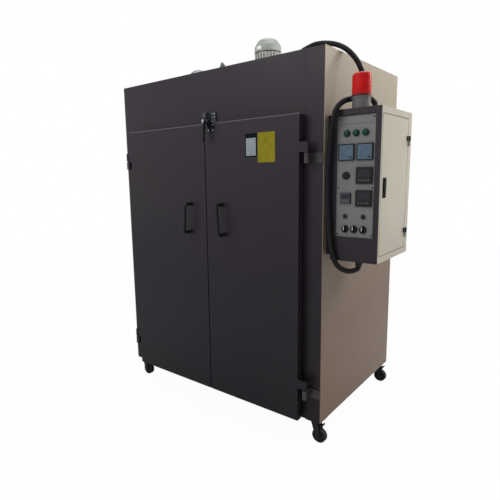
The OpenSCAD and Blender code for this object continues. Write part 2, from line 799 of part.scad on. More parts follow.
// Conduit routes in the cabinet's own frame, with heights above the body's bottom
upper_route = [[-77, 521, 1875], [-77, 495, 1875], [-62, 462, 1863], [-25, 435, 1842],
  [40, 415, 1826], [110, 398, 1820], [190, 375, 1822], [270, 345, 1832], [350, 305, 1850],
  [410, 278, 1864], [457, 258, 1872], [527, 230, 1876], [600, 206, 1863], [667, 186, 1839],
  [722, 176, 1804], [766, 172, 1756], [790, 172, 1711], [803, 170, 1675], [811, 169, 1643],
  [818, 168, 1615], [827, 168, 1592], [839, 169, 1574], [852, 171, 1561], [860, 172, 1550],
  [860, 172, 1540]];
lower_route = [[818, 150, 1540], [818, 150, 1556], [811, 138, 1570], [800, 115, 1574],
  [788, 75, 1567], [782, 16, 1552], [769, -14, 1528], [761, -28, 1496], [752, -26, 1461],
  [742, -22, 1402], [732, -20, 1291], [730, -20, 1177], [735, -20, 1061], [745, -20, 945],
  [759, -18, 874], [771, -16, 840], [787, -8, 817], [803, 2, 805], [820, 13, 798], [838, 27, 799],
  [852, 40, 806], [857, 44, 814], [857, 44, 822]];

function unit(v) = v / norm(v);
function direction(p, i) = unit(p[min(i + 1, len(p) - 1)] - p[max(i - 1, 0)]);
// One side vector for every point, carried along so that the tube doesn't twist
function sides_of(p) = [for (i = 0, u = unit(cross(direction(p, 0), [0.3, 0.2, 1])); i < len(p);
  i = i + 1, u = i < len(p) ? unit(u - (u * direction(p, i)) * direction(p, i)) : u) u];

// A round tube swept along points, with a flat ring of sides at every point
module tube(p, r, sides) {
  rings = len(p);
  u = sides_of(p);
  points = [for (i = [0 : rings - 1], k = [0 : sides - 1])
    p[i] + r * (cos(k * 360 / sides) * u[i] + sin(k * 360 / sides) * cross(direction(p, i), u[i]))];
  skin = [for (i = [0 : rings - 2], k = [0 : sides - 1])
    let (a = i * sides + k, b = i * sides + (k + 1) % sides) [a, b, b + sides, a + sides]];
  polyhedron(points, concat([[for (k = [sides - 1 : -1 : 0]) k]], skin,
    [[for (k = [0 : sides - 1]) (rings - 1) * sides + k]]), convexity = 6);
}

// A gland: a six-sided nut on a washer, and the round collar that grips the conduit
module gland() {
  cylinder(r = gland_r, h = 3);
  translate([0, 0, 3 - eps]) cylinder(r = gland_r, h = gland_h * 0.45, $fn = 6);
  translate([0, 0, gland_h * 0.5]) cylinder(r = gland_r - 3, h = gland_h * 0.5);
}

module cable_glands() color("black") place() {
  translate([box_mid + 14, beacon_y + 119, box_z1]) gland();
  translate([box_mid - 28, beacon_y + 97, box_z1]) gland();
  translate([box_mid + 12, 44, box_z0]) rotate([180, 0, 0]) gland();
  translate([6 - cowl_r, terminal_face, roof_z + terminal_z + terminal_h / 2]) rotate([90, 0, 0])
    gland();
}

module upper_conduit() color("black") place() translate([0, 0, body_z])
  tube(upper_route, conduit_r, 10);

module lower_conduit() color("black") place() translate([0, 0, body_z])
  tube(lower_route, conduit_r, 10);

// Corners of the cabinet: front left, front right, rear left, rear right
corners = [[-side_x + caster_in, caster_in], [side_x - caster_in, caster_in],
  [-side_x + caster_in, body_d - caster_in], [side_x - caster_in, body_d - caster_in]];
plate_z = body_z - 4;
bearing_h = 10;
king_r = 6;

module caster_plates() color("silver") place() {
  for (c = corners) translate([c[0], c[1], 0]) {
    translate([-caster_plate / 2, -caster_plate / 2, plate_z]) cube([caster_plate, caster_plate, 4]);
    translate([0, 0, plate_z - bearing_h]) cylinder(r = 24, h = bearing_h + eps);
    translate([0, 0, plate_z - bearing_h - 6]) cylinder(r = king_r, h = 7);
  }
}

// A swivel fork with its crown, two legs, the axle in it and the brake pedal over the wheel
module fork(corner) {
  crown_z = plate_z - bearing_h - seat_gap;
  // The legs stand clear of the wheel by 5 mm
  leg_w = wheel_w / 2 + 5;
  translate([corner[0], corner[1], 0]) rotate([0, 0, -90]) {
    difference() {
      translate([0, 0, crown_z - fork_t]) cylinder(r = 26, h = fork_t);
      translate([0, 0, crown_z - fork_t - 1]) cylinder(r = king_r + pin_play, h = fork_t + 2);
    }
    for (s = [-1, 1]) translate([s * (leg_w + fork_t / 2) - fork_t / 2, 0, 0])
      rotate([90, 0, 90]) linear_extrude(fork_t) polygon([[-18, crown_z], [18, crown_z],
        [trail + 12, wheel_r], [trail + 6, wheel_r - 10], [trail - 6, wheel_r - 10],
        [trail - 14, wheel_r]]);
    translate([-leg_w - fork_t - 2, trail, wheel_r]) rotate([0, 90, 0])
      cylinder(r = pin_r - 1, h = 2 * leg_w + 2 * fork_t + 4);
    block(-leg_w - fork_t, leg_w + fork_t, 6, 14, crown_z - 20, crown_z - 16);
    rotate([90, 0, 90]) translate([0, 0, -wheel_w / 2]) linear_extrude(wheel_w)
      polygon([[7, crown_z - 20], [32, crown_z - 20], [42, crown_z - 15], [42, crown_z - 8],
        [37, crown_z - 8], [30, crown_z - 16], [7, crown_z - 16]]);
  }
}

// A wheel turned from one profile: bored hub, sunk web and a tread with round shoulders
module wheel(corner) {
  w = wheel_w;
  web = 5;
  half = [[12, 0], [13, 1], [14, web], [wheel_r - 11, web], [wheel_r - 10, 0.8], [wheel_r - 3.5, 0],
    [wheel_r - 1, 1.4], [wheel_r, 4]];
  translate([corner[0] + trail, corner[1] + w / 2, wheel_r]) rotate([90, 0, 0]) difference() {
    rotate_extrude() polygon(concat([[0, 0]], half,
      [for (i = [len(half) - 1 : -1 : 0]) [half[i][0], w - half[i][1]]], [[0, w]]));
    translate([0, 0, -1]) cylinder(r = pin_r - 1 + pin_play, h = w + 2);
  }
}

module fork_fl() color("silver") place() fork(corners[0]);
module fork_fr() color("silver") place() fork(corners[1]);
module fork_rl() color("silver") place() fork(corners[2]);
module fork_rr() color("silver") place() fork(corners[3]);
module wheel_fl() color("black") place() wheel(corners[0]);
module wheel_fr() color("black") place() wheel(corners[1]);
module wheel_rl() color("black") place() wheel(corners[2]);
module wheel_rr() color("black") place() wheel(corners[3]);

base_frame();
floor_panel();
left_wall();
right_wall();
back_wall();
roof();
header();
left_jamb();
right_jamb();
door_gasket();
left_duct();
right_duct();
ceiling_grille();
frame_hinges();
strike();
motor_body();
motor_cowl();
motor_terminal_box();
exhaust_pipe();
damper();
box_bracket();
box_shell();
box_fascia();
instrument_panel();
lamps();
meters();
controllers();
push_buttons();
mounting_plate();
beacon_base();
beacon_dome();
cable_glands();
upper_conduit();
lower_conduit();
caster_plates();
left_door();
right_door();
left_handle();
right_handle();
latch_base();
latch_lever();
box_door();
box_lock();
selector_1();
selector_2();
selector_3();
fork_fl();
fork_fr();
fork_rl();
fork_rr();
wheel_fl();
wheel_fr();
wheel_rl();
wheel_rr();
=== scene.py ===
import math

import bmesh
import bpy
from mathutils import Matrix, Vector


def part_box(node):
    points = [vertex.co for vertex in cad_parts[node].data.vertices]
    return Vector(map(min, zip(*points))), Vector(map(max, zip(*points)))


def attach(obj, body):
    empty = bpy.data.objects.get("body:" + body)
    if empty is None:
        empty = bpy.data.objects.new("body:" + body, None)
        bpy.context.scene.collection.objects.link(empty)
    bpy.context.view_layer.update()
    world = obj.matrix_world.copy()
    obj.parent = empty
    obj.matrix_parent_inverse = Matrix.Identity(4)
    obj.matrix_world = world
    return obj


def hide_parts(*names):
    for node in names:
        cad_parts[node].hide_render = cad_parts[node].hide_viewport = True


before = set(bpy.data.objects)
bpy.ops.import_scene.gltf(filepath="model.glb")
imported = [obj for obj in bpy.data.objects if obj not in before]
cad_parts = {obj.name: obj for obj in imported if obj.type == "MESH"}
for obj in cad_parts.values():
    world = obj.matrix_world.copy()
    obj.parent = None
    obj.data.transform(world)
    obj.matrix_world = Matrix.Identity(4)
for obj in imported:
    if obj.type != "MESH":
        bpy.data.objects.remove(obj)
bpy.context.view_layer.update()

# Camera and studio
# The oven is seen from the right of its doors, from a little under the middle of the control box.
# It stands on a pale floor before a white background, between soft lamps.
EYE = Vector((1.5055, -2.2832, 1.3766))
YAW, PITCH, ROLL = 0.6969, -0.1613, -0.0225
LENS_MM = 31.70
FRAME_SHIFT = (0.0593, -0.0095)
FLOOR_SIDE = 14.0

scene = bpy.context.scene
scene.view_settings.view_transform = "Standard"

ahead = Vector((-math.sin(YAW) * math.cos(PITCH), math.cos(YAW) * math.cos(PITCH), math.sin(PITCH)))
level_right = Vector((math.cos(YAW), math.sin(YAW), 0))
level_up = level_right.cross(ahead)
camera_right = math.cos(ROLL) * level_right + math.sin(ROLL) * level_up
camera_up = -math.sin(ROLL) * level_right + math.cos(ROLL) * level_up
camera = bpy.data.objects.new("camera", bpy.data.cameras.new("camera"))
camera.data.sensor_width = 36
camera.data.lens = LENS_MM
camera.data.shift_x, camera.data.shift_y = FRAME_SHIFT
camera.matrix_world = Matrix.Translation(EYE) @ Matrix((camera_right, camera_up, -ahead)).transposed().to_4x4()
scene.collection.objects.link(camera)
scene.camera = camera


def studio_lamp(name, place, target, size, power, tint):
    lamp = bpy.data.lights.new(name, "AREA")
    lamp.shape = "RECTANGLE"
    lamp.size, lamp.size_y = size
    lamp.energy = power
    lamp.color = tint
    holder = bpy.data.objects.new(name, lamp)
    toward = Vector(target) - Vector(place)
    holder.matrix_world = Matrix.Translation(place) @ toward.to_track_quat("-Z", "Y").to_matrix().to_4x4()
    scene.collection.objects.link(holder)


studio_lamp("front_lamp", (-1.2, -4.0, 3.8), (0, 0, 1.3), (2.6, 2.0), 62, (1.0, 0.98, 0.99))
studio_lamp("rear_right_lamp", (2.6, 1.9, 3.0), (0.56, 0.6, 1.9), (1.6, 1.2), 66, (1.0, 0.95, 0.85))
studio_lamp("top_lamp", (0.2, 0.4, 4.6), (0, 0, 1.0), (2.4, 2.4), 50, (1.0, 1.0, 1.0))

world = bpy.data.worlds.new("studio")
world.use_nodes = True
scene.world = world
sky = world.node_tree
sky.nodes.clear()
sky_light = sky.nodes.new("ShaderNodeBackground")
sky_light.inputs["Color"].default_value = (0.93, 0.95, 1.0, 1)
sky_light.inputs["Strength"].default_value = 0.56
sky_white = sky.nodes.new("ShaderNodeBackground")
sky_white.inputs["Color"].default_value = (1, 1, 1, 1)
sky_path = sky.nodes.new("ShaderNodeLightPath")
seen_or_mirrored = sky.nodes.new("ShaderNodeMath")
seen_or_mirrored.operation = "MAXIMUM"
seen_at_all = sky.nodes.new("ShaderNodeMath")
seen_at_all.operation = "MAXIMUM"
sky_choice = sky.nodes.new("ShaderNodeMixShader")
sky_out = sky.nodes.new("ShaderNodeOutputWorld")
sky.links.new(sky_path.outputs["Is Camera Ray"], seen_or_mirrored.inputs[0])
sky.links.new(sky_path.outputs["Is Glossy Ray"], seen_or_mirrored.inputs[1])
sky.links.new(seen_or_mirrored.outputs[0], seen_at_all.inputs[0])
sky.links.new(sky_path.outputs["Is Transmission Ray"], seen_at_all.inputs[1])
sky.links.new(seen_at_all.outputs[0], sky_choice.inputs["Fac"])
sky.links.new(sky_light.outputs[0], sky_choice.inputs[1])
sky.links.new(sky_white.outputs[0], sky_choice.inputs[2])
sky.links.new(sky_choice.outputs[0], sky_out.inputs["Surface"])

floor_paint = bpy.data.materials.new("pale_floor")
floor_paint.use_nodes = True
floor_tree = floor_paint.node_tree
floor_matt = floor_tree.nodes["Principled BSDF"]
floor_matt.inputs["Base Color"].default_value = (0.86, 0.86, 0.86, 1)
floor_matt.inputs["Roughness"].default_value = 0.9
floor_matt.inputs["Specular IOR Level"].default_value = 0.0
floor_white = floor_tree.nodes.new("ShaderNodeEmission")
floor_white.inputs["Color"].default_value = (1, 1, 1, 1)
floor_path = floor_tree.nodes.new("ShaderNodeLightPath")
floor_share = floor_tree.nodes.new("ShaderNodeMath")
floor_share.operation = "MULTIPLY"
floor_share.inputs[1].default_value = 0.97
floor_mix = floor_tree.nodes.new("ShaderNodeMixShader")
floor_tree.links.new(floor_path.outputs["Is Camera Ray"], floor_share.inputs[0])
floor_tree.links.new(floor_share.outputs[0], floor_mix.inputs["Fac"])
floor_tree.links.new(floor_matt.outputs[0], floor_mix.inputs[1])
floor_tree.links.new(floor_white.outputs[0], floor_mix.inputs[2])
floor_tree.links.new(floor_mix.outputs[0], floor_tree.nodes["Material Output"].inputs["Surface"])
half = FLOOR_SIDE / 2
floor_mesh = bpy.data.meshes.new("floor")
floor_mesh.from_pydata([(-half, -half, 0), (half, -half, 0), (half, half, 0), (-half, half, 0)], [], [(0, 1, 2, 3)])
floor = bpy.data.objects.new("floor", floor_mesh)
floor.data.materials.append(floor_paint)
scene.collection.objects.link(floor)

# Conduits
# Two black corrugated plastic conduits carry the wires of the fan motor and of the door switch.
# The upper one runs from the motor's terminal box over the roof, down the cabinet's side to a gland
# on the control box. The lower one loops from the box's top down its front edge and in from below.
header_low, header_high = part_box("header")
CABINET_MIDDLE = (header_low.x + header_high.x) / 2
FRAME_FACE = header_low.y
BODY_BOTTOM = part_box("base_frame")[0].z
CONDUIT_DIAMETER = 0.025
RIB_PITCH = 0.0055
RIB_DEPTH = 0.12
UPPER_ROUTE = [(-77, 521, 1875), (-77, 495, 1875), (-62, 462, 1863), (-25, 435, 1842), (40, 415, 1826),
               (110, 398, 1820), (190, 375, 1822), (270, 345, 1832), (350, 305, 1850), (410, 278, 1864),
               (457, 258, 1872), (527, 230, 1876), (600, 206, 1863), (667, 186, 1839), (722, 176, 1804),
               (766, 172, 1756), (790, 172, 1711), (803, 170, 1675), (811, 169, 1643), (818, 168, 1615),
               (827, 168, 1592), (839, 169, 1574), (852, 171, 1561), (860, 172, 1550), (860, 172, 1540)]
LOWER_ROUTE = [(818, 150, 1540), (818, 150, 1556), (811, 138, 1570), (800, 115, 1574), (788, 75, 1567),
               (782, 16, 1552), (769, -14, 1528), (761, -28, 1496), (752, -26, 1461), (742, -22, 1402),
               (732, -20, 1291), (730, -20, 1177), (735, -20, 1061), (745, -20, 945), (759, -18, 874),
               (771, -16, 840), (787, -8, 817), (803, 2, 805), (820, 13, 798), (838, 27, 799),
               (852, 40, 806), (857, 44, 814), (857, 44, 822)]


def on_cabinet(x, y, up):
    """A place in mm from the cabinet's middle, its front frame and the body's bottom."""
    return Vector((CABINET_MIDDLE + x / 1000, FRAME_FACE + y / 1000, BODY_BOTTOM + up / 1000))


def add_input(tree, name, kind, value=None):
    socket = tree.interface.new_socket(name, in_out="INPUT", socket_type=kind)
    if value is not None:
        socket.default_value = value
    return socket.identifier


def node_tree(name):
    """A Geometry Nodes tree with a geometry input and output, and its two end nodes."""
    tree = bpy.data.node_groups.new(name, "GeometryNodeTree")
    tree.interface.new_socket("Geometry", in_out="INPUT", socket_type="NodeSocketGeometry")
    tree.interface.new_socket("Geometry", in_out="OUTPUT", socket_type="NodeSocketGeometry")
    return tree


def math_node(tree, operation, first, second):
    step = tree.nodes.new("ShaderNodeMath")
    step.operation = operation
    for socket, value in zip(step.inputs, (first, second)):
        if isinstance(value, (int, float)):
            socket.default_value = value
        else:
            tree.links.new(value, socket)
    return step.outputs[0]


def grown(name, tree, seed_mesh, settings, body):
    """Runs a tree on a seed mesh and keeps the result as one plain mesh that rides on a body."""
    source = bpy.data.objects.new(name + "_seed", seed_mesh)
    scene.collection.objects.link(source)
    modifier = source.modifiers.new("grow", "NODES")
    modifier.node_group = tree
    for identifier, value in settings.items():
        modifier[identifier] = value
    shapes = bpy.context.evaluated_depsgraph_get()
    mesh = bpy.data.meshes.new_from_object(source.evaluated_get(shapes))
    mesh.name = name
    source.modifiers.remove(modifier)
    bpy.data.objects.remove(source)
    piece = bpy.data.objects.new(name, mesh)
    scene.collection.objects.link(piece)
    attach(piece, body)
    return piece


def corrugated_tree():
    tree = node_tree("corrugated_conduit")
    ids = {"diameter": add_input(tree, "Diameter", "NodeSocketFloat", CONDUIT_DIAMETER),
           "pitch": add_input(tree, "Rib pitch", "NodeSocketFloat", RIB_PITCH),
           "depth": add_input(tree, "Rib depth", "NodeSocketFloat", RIB_DEPTH),
           "material": add_input(tree, "Plastic", "NodeSocketMaterial")}
    start = tree.nodes.new("NodeGroupInput")
    end = tree.nodes.new("NodeGroupOutput")
    line = tree.nodes.new("GeometryNodeMeshToCurve")
    bend = tree.nodes.new("GeometryNodeCurveSplineType")
    bend.spline_type = "CATMULL_ROM"
    spread = tree.nodes.new("GeometryNodeResampleCurve")
    spread.mode = "LENGTH"
    along = tree.nodes.new("GeometryNodeSplineParameter")
    ring = tree.nodes.new("GeometryNodeCurvePrimitiveCircle")
    ring.inputs["Resolution"].default_value = 14
    skin = tree.nodes.new("GeometryNodeCurveToMesh")
    skin.inputs["Fill Caps"].default_value = True
    smooth = tree.nodes.new("GeometryNodeSetShadeSmooth")
    real = tree.nodes.new("GeometryNodeRealizeInstances")
    paint = tree.nodes.new("GeometryNodeSetMaterial")
    turns = math_node(tree, "DIVIDE", along.outputs["Length"], start.outputs["Rib pitch"])
    wave = math_node(tree, "COSINE", math_node(tree, "MULTIPLY", turns, math.tau), 0.0)
    dip = math_node(tree, "MULTIPLY", math_node(tree, "SUBTRACT", 1.0, wave), start.outputs["Rib depth"])
    scale = math_node(tree, "SUBTRACT", 1.0, math_node(tree, "MULTIPLY", dip, 0.5))
    tree.links.new(start.outputs["Geometry"], line.inputs["Mesh"])
    tree.links.new(line.outputs[0], bend.inputs["Curve"])
    tree.links.new(bend.outputs[0], spread.inputs["Curve"])
    tree.links.new(math_node(tree, "DIVIDE", start.outputs["Rib pitch"], 4.0), spread.inputs["Length"])
    tree.links.new(math_node(tree, "DIVIDE", start.outputs["Diameter"], 2.0), ring.inputs["Radius"])
    tree.links.new(spread.outputs[0], skin.inputs["Curve"])
    tree.links.new(ring.outputs["Curve"], skin.inputs["Profile Curve"])
    tree.links.new(scale, skin.inputs["Scale"])
    tree.links.new(skin.outputs[0], smooth.inputs["Geometry"])
    tree.links.new(smooth.outputs[0], real.inputs[0])
    tree.links.new(real.outputs[0], paint.inputs["Geometry"])
    tree.links.new(start.outputs["Plastic"], paint.inputs["Material"])
    tree.links.new(paint.outputs[0], end.inputs["Geometry"])
    return tree, ids


class Finish:
    """A material on its Principled shader, with small helpers that add surface detail."""

    def __init__(self, name, colour, roughness, metallic=0.0):
        self.material = bpy.data.materials.new(name)
        self.material.use_nodes = True
        self.tree = self.material.node_tree
        self.shader = self.tree.nodes["Principled BSDF"]
        self.shader.inputs["Base Color"].default_value = (*colour, 1)
        self.shader.inputs["Roughness"].default_value = roughness
        self.shader.inputs["Metallic"].default_value = metallic
        self.colour = colour
        self.place = self.tree.nodes.new("ShaderNodeTexCoord").outputs["Object"]

    def gloss(self, level):
        """Sets how much plain surface reflection the finish has, 0.5 being common plastic."""
        self.shader.inputs["Specular IOR Level"].default_value = level
        return self

    def noise(self, scale, detail=3.0, stretch=(1, 1, 1)):
        turn = self.tree.nodes.new("ShaderNodeMapping")
        turn.inputs["Scale"].default_value = stretch
        cloud = self.tree.nodes.new("ShaderNodeTexNoise")
        cloud.inputs["Scale"].default_value = scale
        cloud.inputs["Detail"].default_value = detail
        self.tree.links.new(self.place, turn.inputs["Vector"])
        self.tree.links.new(turn.outputs[0], cloud.inputs["Vector"])
        return cloud.outputs["Fac"]

    def spread(self, value, low, high, out_low, out_high):
        step = self.tree.nodes.new("ShaderNodeMapRange")
        for name, number in (("From Min", low), ("From Max", high), ("To Min", out_low), ("To Max", out_high)):
            step.inputs[name].default_value = number
        self.tree.links.new(value, step.inputs["Value"])
        return step.outputs["Result"]

    def blend(self, factor, other):
        """Lets another colour through by factor, over what the base colour holds so far."""
        mix = self.tree.nodes.new("ShaderNodeMix")
        mix.data_type = "RGBA"
        held = self.shader.inputs["Base Color"]
        if held.is_linked:
            self.tree.links.new(held.links[0].from_socket, mix.inputs["A"])
        else:
            mix.inputs["A"].default_value = held.default_value
        mix.inputs["B"].default_value = (*other, 1)
        self.tree.links.new(factor, mix.inputs["Factor"])
        self.tree.links.new(mix.outputs["Result"], held)
        return self

    def vary(self, scale, share, detail=3.0, stretch=(1, 1, 1)):
        """Clouds of a slightly darker tone."""
        darker = tuple(c * (1 - share) for c in self.colour)
        return self.blend(self.spread(self.noise(scale, detail, stretch), 0.35, 0.65, 0, 1), darker)

    def rough(self, scale, low, high, stretch=(1, 1, 1)):
        worn = self.spread(self.noise(scale, 3.0, stretch), 0.3, 0.7, low, high)
        self.tree.links.new(worn, self.shader.inputs["Roughness"])
        return self

    def bump(self, height, depth, strength=1.0):
        relief = self.tree.nodes.new("ShaderNodeBump")
        relief.inputs["Strength"].default_value = strength
        relief.inputs["Distance"].default_value = depth
        held = self.shader.inputs["Normal"]
        if held.is_linked:
            self.tree.links.new(held.links[0].from_socket, relief.inputs["Normal"])
        self.tree.links.new(height, relief.inputs["Height"])
        self.tree.links.new(relief.outputs[0], held)
        return self

    def grain(self, scale, depth, stretch=(1, 1, 1)):
        return self.bump(self.noise(scale, 2.0, stretch), depth, 0.6)

    def fade(self, low, high, share, tone, axis="Z"):
        """Another tone that grows smoothly towards the low end of an axis."""
        parts = self.tree.nodes.new("ShaderNodeSeparateXYZ")
        self.tree.links.new(self.place, parts.inputs[0])
        return self.blend(self.spread(parts.outputs[axis], low, high, share, 0), tone)


conduit_plastic = Finish("conduit_plastic", (0.008, 0.008, 0.0105), 0.42).vary(30, 0.3).rough(60, 0.36, 0.55)
conduit_plastic.grain(400, 0.0002).gloss(0.12)
corrugated, conduit_inputs = corrugated_tree()
for conduit_name, route, lay in (("upper_conduit", UPPER_ROUTE, "loose"), ("lower_conduit", LOWER_ROUTE, "hanging")):
    line_mesh = bpy.data.meshes.new(conduit_name + "_line")
    line_mesh.from_pydata([on_cabinet(*place) for place in route], [(i, i + 1) for i in range(len(route) - 1)], [])
    conduit = grown(conduit_name + "_ribbed", corrugated, line_mesh, {
        conduit_inputs["diameter"]: CONDUIT_DIAMETER, conduit_inputs["pitch"]: RIB_PITCH,
        conduit_inputs["depth"]: RIB_DEPTH, conduit_inputs["material"]: conduit_plastic.material}, "cabinet")
    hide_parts(conduit_name)

# Base frame and insulated floor
# A frame of welded square tube carries the body, with a steel pan full of mineral wool inside it.
# The tube is painted with the cabinet's dark enamel, and the pan's top is plain stainless sheet.
ENAMEL_DARK = (0.027, 0.0205, 0.0275)
EDGE_ROUND = 0.0012


def weld_tree():
    """Joins a CAD node's loose triangles and shades its round faces smooth, up to its sharp edges."""
    tree = node_tree("welded_sheet")
    sharp_id = add_input(tree, "Sharp angle", "NodeSocketFloat", 0.6)
    start = tree.nodes.new("NodeGroupInput")
    end = tree.nodes.new("NodeGroupOutput")
    merge = tree.nodes.new("GeometryNodeMergeByDistance")
    merge.inputs["Distance"].default_value = 0.00001
    smooth = tree.nodes.new("GeometryNodeSetShadeSmooth")
    crease = tree.nodes.new("GeometryNodeSetShadeSmooth")
    crease.domain = "EDGE"
    crease.inputs["Shade Smooth"].default_value = False
    angle = tree.nodes.new("GeometryNodeInputMeshEdgeAngle")
    is_sharp = math_node(tree, "GREATER_THAN", angle.outputs["Unsigned Angle"], start.outputs["Sharp angle"])
    tree.links.new(start.outputs["Geometry"], merge.inputs["Geometry"])
    tree.links.new(merge.outputs[0], smooth.inputs["Geometry"])
    tree.links.new(smooth.outputs[0], crease.inputs["Geometry"])
    tree.links.new(is_sharp, crease.inputs["Selection"])
    tree.links.new(crease.outputs[0], end.inputs["Geometry"])
    return tree, sharp_id


welded, sharp_angle = weld_tree()


def dress(names, finish, edge=EDGE_ROUND):
    """Gives CAD nodes their finish, with the small radius that folded and cast edges have."""
    for name in names:
        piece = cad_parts[name]
        piece.data.materials.clear()
        piece.data.materials.append(finish.material)
        seam = piece.modifiers.new("weld", "NODES")
        seam.node_group = welded
        if edge:
            fold = piece.modifiers.new("folded_edges", "BEVEL")
            fold.width = edge
            fold.segments = 2
            fold.limit_method = "ANGLE"
            fold.angle_limit = 0.6
            fold.harden_normals = True


# Dark enamel, faded darker towards the bottom: painted shade.
cabinet_enamel_with_painted_shade = Finish("cabinet_enamel_with_painted_shade", ENAMEL_DARK, 0.34).vary(1.3, 0.12).rough(9, 0.31, 0.40)
cabinet_enamel_with_painted_shade.grain(700, 0.0001).gloss(0.2).fade(0.1, 1.7, 0.9, (0.008, 0.006, 0.0085))
liner_steel = Finish("liner_steel", (0.52, 0.52, 0.51), 0.36, 1.0).vary(5, 0.2).rough(3, 0.28, 0.5, (1, 1, 60))
liner_steel.grain(90, 0.00008, (1, 1, 30))
dress(["base_frame"], cabinet_enamel_with_painted_shade)
dress(["floor_panel"], liner_steel, 0)

# Insulated walls and roof
# Folded sheet panels filled with mineral wool, with a cream enamel skin that wraps the base frame.
# They are screwed together from the inside, so only their folded corners show.
# The walls' cream is set darker than the same enamel on the control box, and fades darker still towards the bottom:
# both are painted shade.
WALL_CREAM_IN_PAINTED_SHADE = (0.36, 0.31, 0.245)
wall_enamel_with_painted_shade = Finish("wall_enamel_with_painted_shade", WALL_CREAM_IN_PAINTED_SHADE, 0.32).vary(0.9, 0.06, 1.0).rough(5, 0.29, 0.36)
wall_enamel_with_painted_shade.grain(650, 0.00008).gloss(0.1).fade(0.6, 1.85, 0.95, (0.155, 0.103, 0.073))
dress(["left_wall", "right_wall", "back_wall", "roof"], wall_enamel_with_painted_shade, 0.0005)

# Front frame
# The header and the two jambs are folded from sheet and screwed to the body's front, in the dark
# enamel. The header hides the lamp side of the latch and carries its strike.
dress(["header", "left_jamb", "right_jamb"], cabinet_enamel_with_painted_shade, 0.0015)

# Doors
# Two flush doors of folded sheet with an insulation plug behind, each on two barrel hinges.
# The right one carries the latch and two small plates, which are left bare. Their enamel is painted darker towards the
# bottom as painted shade, and lighter along their top fold as a painted highlight.
RIGHT_DOOR_LOW, RIGHT_DOOR_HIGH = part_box("right_door")
# Same dark enamel as the cabinet, faded darker towards the bottom: painted shade.
door_enamel_with_painted_light = Finish("door_enamel_with_painted_light", ENAMEL_DARK, 0.34).vary(1.3, 0.12).rough(9, 0.31, 0.40).grain(700, 0.0001)
door_enamel_with_painted_light.gloss(0.2).fade(0.1, 1.7, 0.9, (0.008, 0.006, 0.0085))
# Lighter band along the top fold: painted highlight where the edge catches the light.
door_enamel_with_painted_light.fade(RIGHT_DOOR_HIGH.z, RIGHT_DOOR_HIGH.z - 0.006, 0.95, (0.16, 0.15, 0.155))
dress(["left_door", "right_door"], door_enamel_with_painted_light, 0.0025)
DOOR_FACE = FRAME_FACE - 0.0503


def rounded_outline(width, height, radius, steps=5):
    corners = []
    for quarter, (sx, sy) in enumerate(((1, 1), (-1, 1), (-1, -1), (1, -1))):
        for step in range(steps + 1):
            turn = math.pi / 2 * (quarter + step / steps)
            corners.append((sx * (width / 2 - radius) + radius * math.cos(turn),
                            sy * (height / 2 - radius) + radius * math.sin(turn)))
    return corners


def thin_plate(name, middle, across, up, size, thickness, radius, materials, body, rim=0.0, chamfer=0.0003):
    """A flat plate with round corners on a face. With a rim, its edge strip takes the second material."""
    across, up = Vector(across).normalized(), Vector(up).normalized()
    out = across.cross(up)
    rings = [(size, 0.0), (size, thickness - chamfer), ((size[0] - 2 * chamfer, size[1] - 2 * chamfer), thickness)]
    if rim:
        rings.append(((size[0] - 2 * rim, size[1] - 2 * rim), thickness))
    shape = bmesh.new()
    loops = []
    for (width, height), level in rings:
        inset = (size[0] - width) / 2
        outline = rounded_outline(width, height, max(radius - inset, 0.0002))
        loops.append([shape.verts.new(middle + across * x + up * y + out * level) for x, y in outline])
    count = len(loops[0])
    for ring, (lower, upper) in enumerate(zip(loops, loops[1:])):
        for i in range(count):
            face = shape.faces.new((lower[i], lower[(i + 1) % count], upper[(i + 1) % count], upper[i]))
            face.material_index = 1 if rim else 0
    shape.faces.new(list(reversed(loops[0])))
    top = shape.faces.new(loops[-1])
    top.material_index = 0
    mesh = bpy.data.meshes.new(name)
    shape.to_mesh(mesh)
    shape.free()
    piece = bpy.data.objects.new(name, mesh)
    for finish in materials:
        mesh.materials.append(finish.material)
    scene.collection.objects.link(piece)
    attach(piece, body)
    return piece


pale_foil = Finish("pale_foil", (0.25, 0.285, 0.31), 0.35).vary(40, 0.2).rough(80, 0.25, 0.5).grain(300, 0.0001)
yellow_foil = Finish("yellow_foil", (0.27, 0.225, 0.006), 0.5).vary(30, 0.25).rough(60, 0.42, 0.6).gloss(0.15)
black_foil = Finish("black_foil", (0.004, 0.006, 0.006), 0.5).vary(30, 0.3).rough(60, 0.45, 0.6).gloss(0.05)
ACROSS, UP = Vector((1, 0, 0)), Vector((0, 0, 1))
for plate_name, plate_x, plate_up, plate_size, plate_rim, plate_finish in (
        ("pale_door_plate", 328.7, 1387, (0.0715, 0.114), 0.006, pale_foil),
        ("yellow_door_plate", 419.5, 1373, (0.100, 0.144), 0.0, yellow_foil),
        ("pale_plate_band", 328.7, 1432, (0.066, 0.020), 0.0, black_foil)):
    spot = on_cabinet(plate_x, 0, plate_up)
    spot.y = DOOR_FACE - (0.0007 if plate_finish is black_foil else 0)
    door_plate = thin_plate(plate_name, spot, ACROSS, UP, plate_size, 0.0008, 0.004,
                            [plate_finish, black_foil], "right_door", rim=plate_rim)

# Door seal
# A woven heat-proof rope in a channel runs round the opening, and the closed doors rest against it.
rope = Finish("seal_rope", (0.34, 0.31, 0.27), 0.95)
weave = rope.tree.nodes.new("ShaderNodeTexWave")
weave.bands_direction = "DIAGONAL"
weave.inputs["Scale"].default_value = 90
weave.inputs["Distortion"].default_value = 1.5
rope.tree.links.new(rope.place, weave.inputs["Vector"])
rope.vary(60, 0.4).bump(weave.outputs["Fac"], 0.0012)
dress(["door_gasket"], rope, 0.005)

# Chamber lining
# Slotted stainless sheets stand off the walls and hang under the roof, and spread the hot air.
dress(["left_duct", "right_duct", "ceiling_grille"], liner_steel, 0)

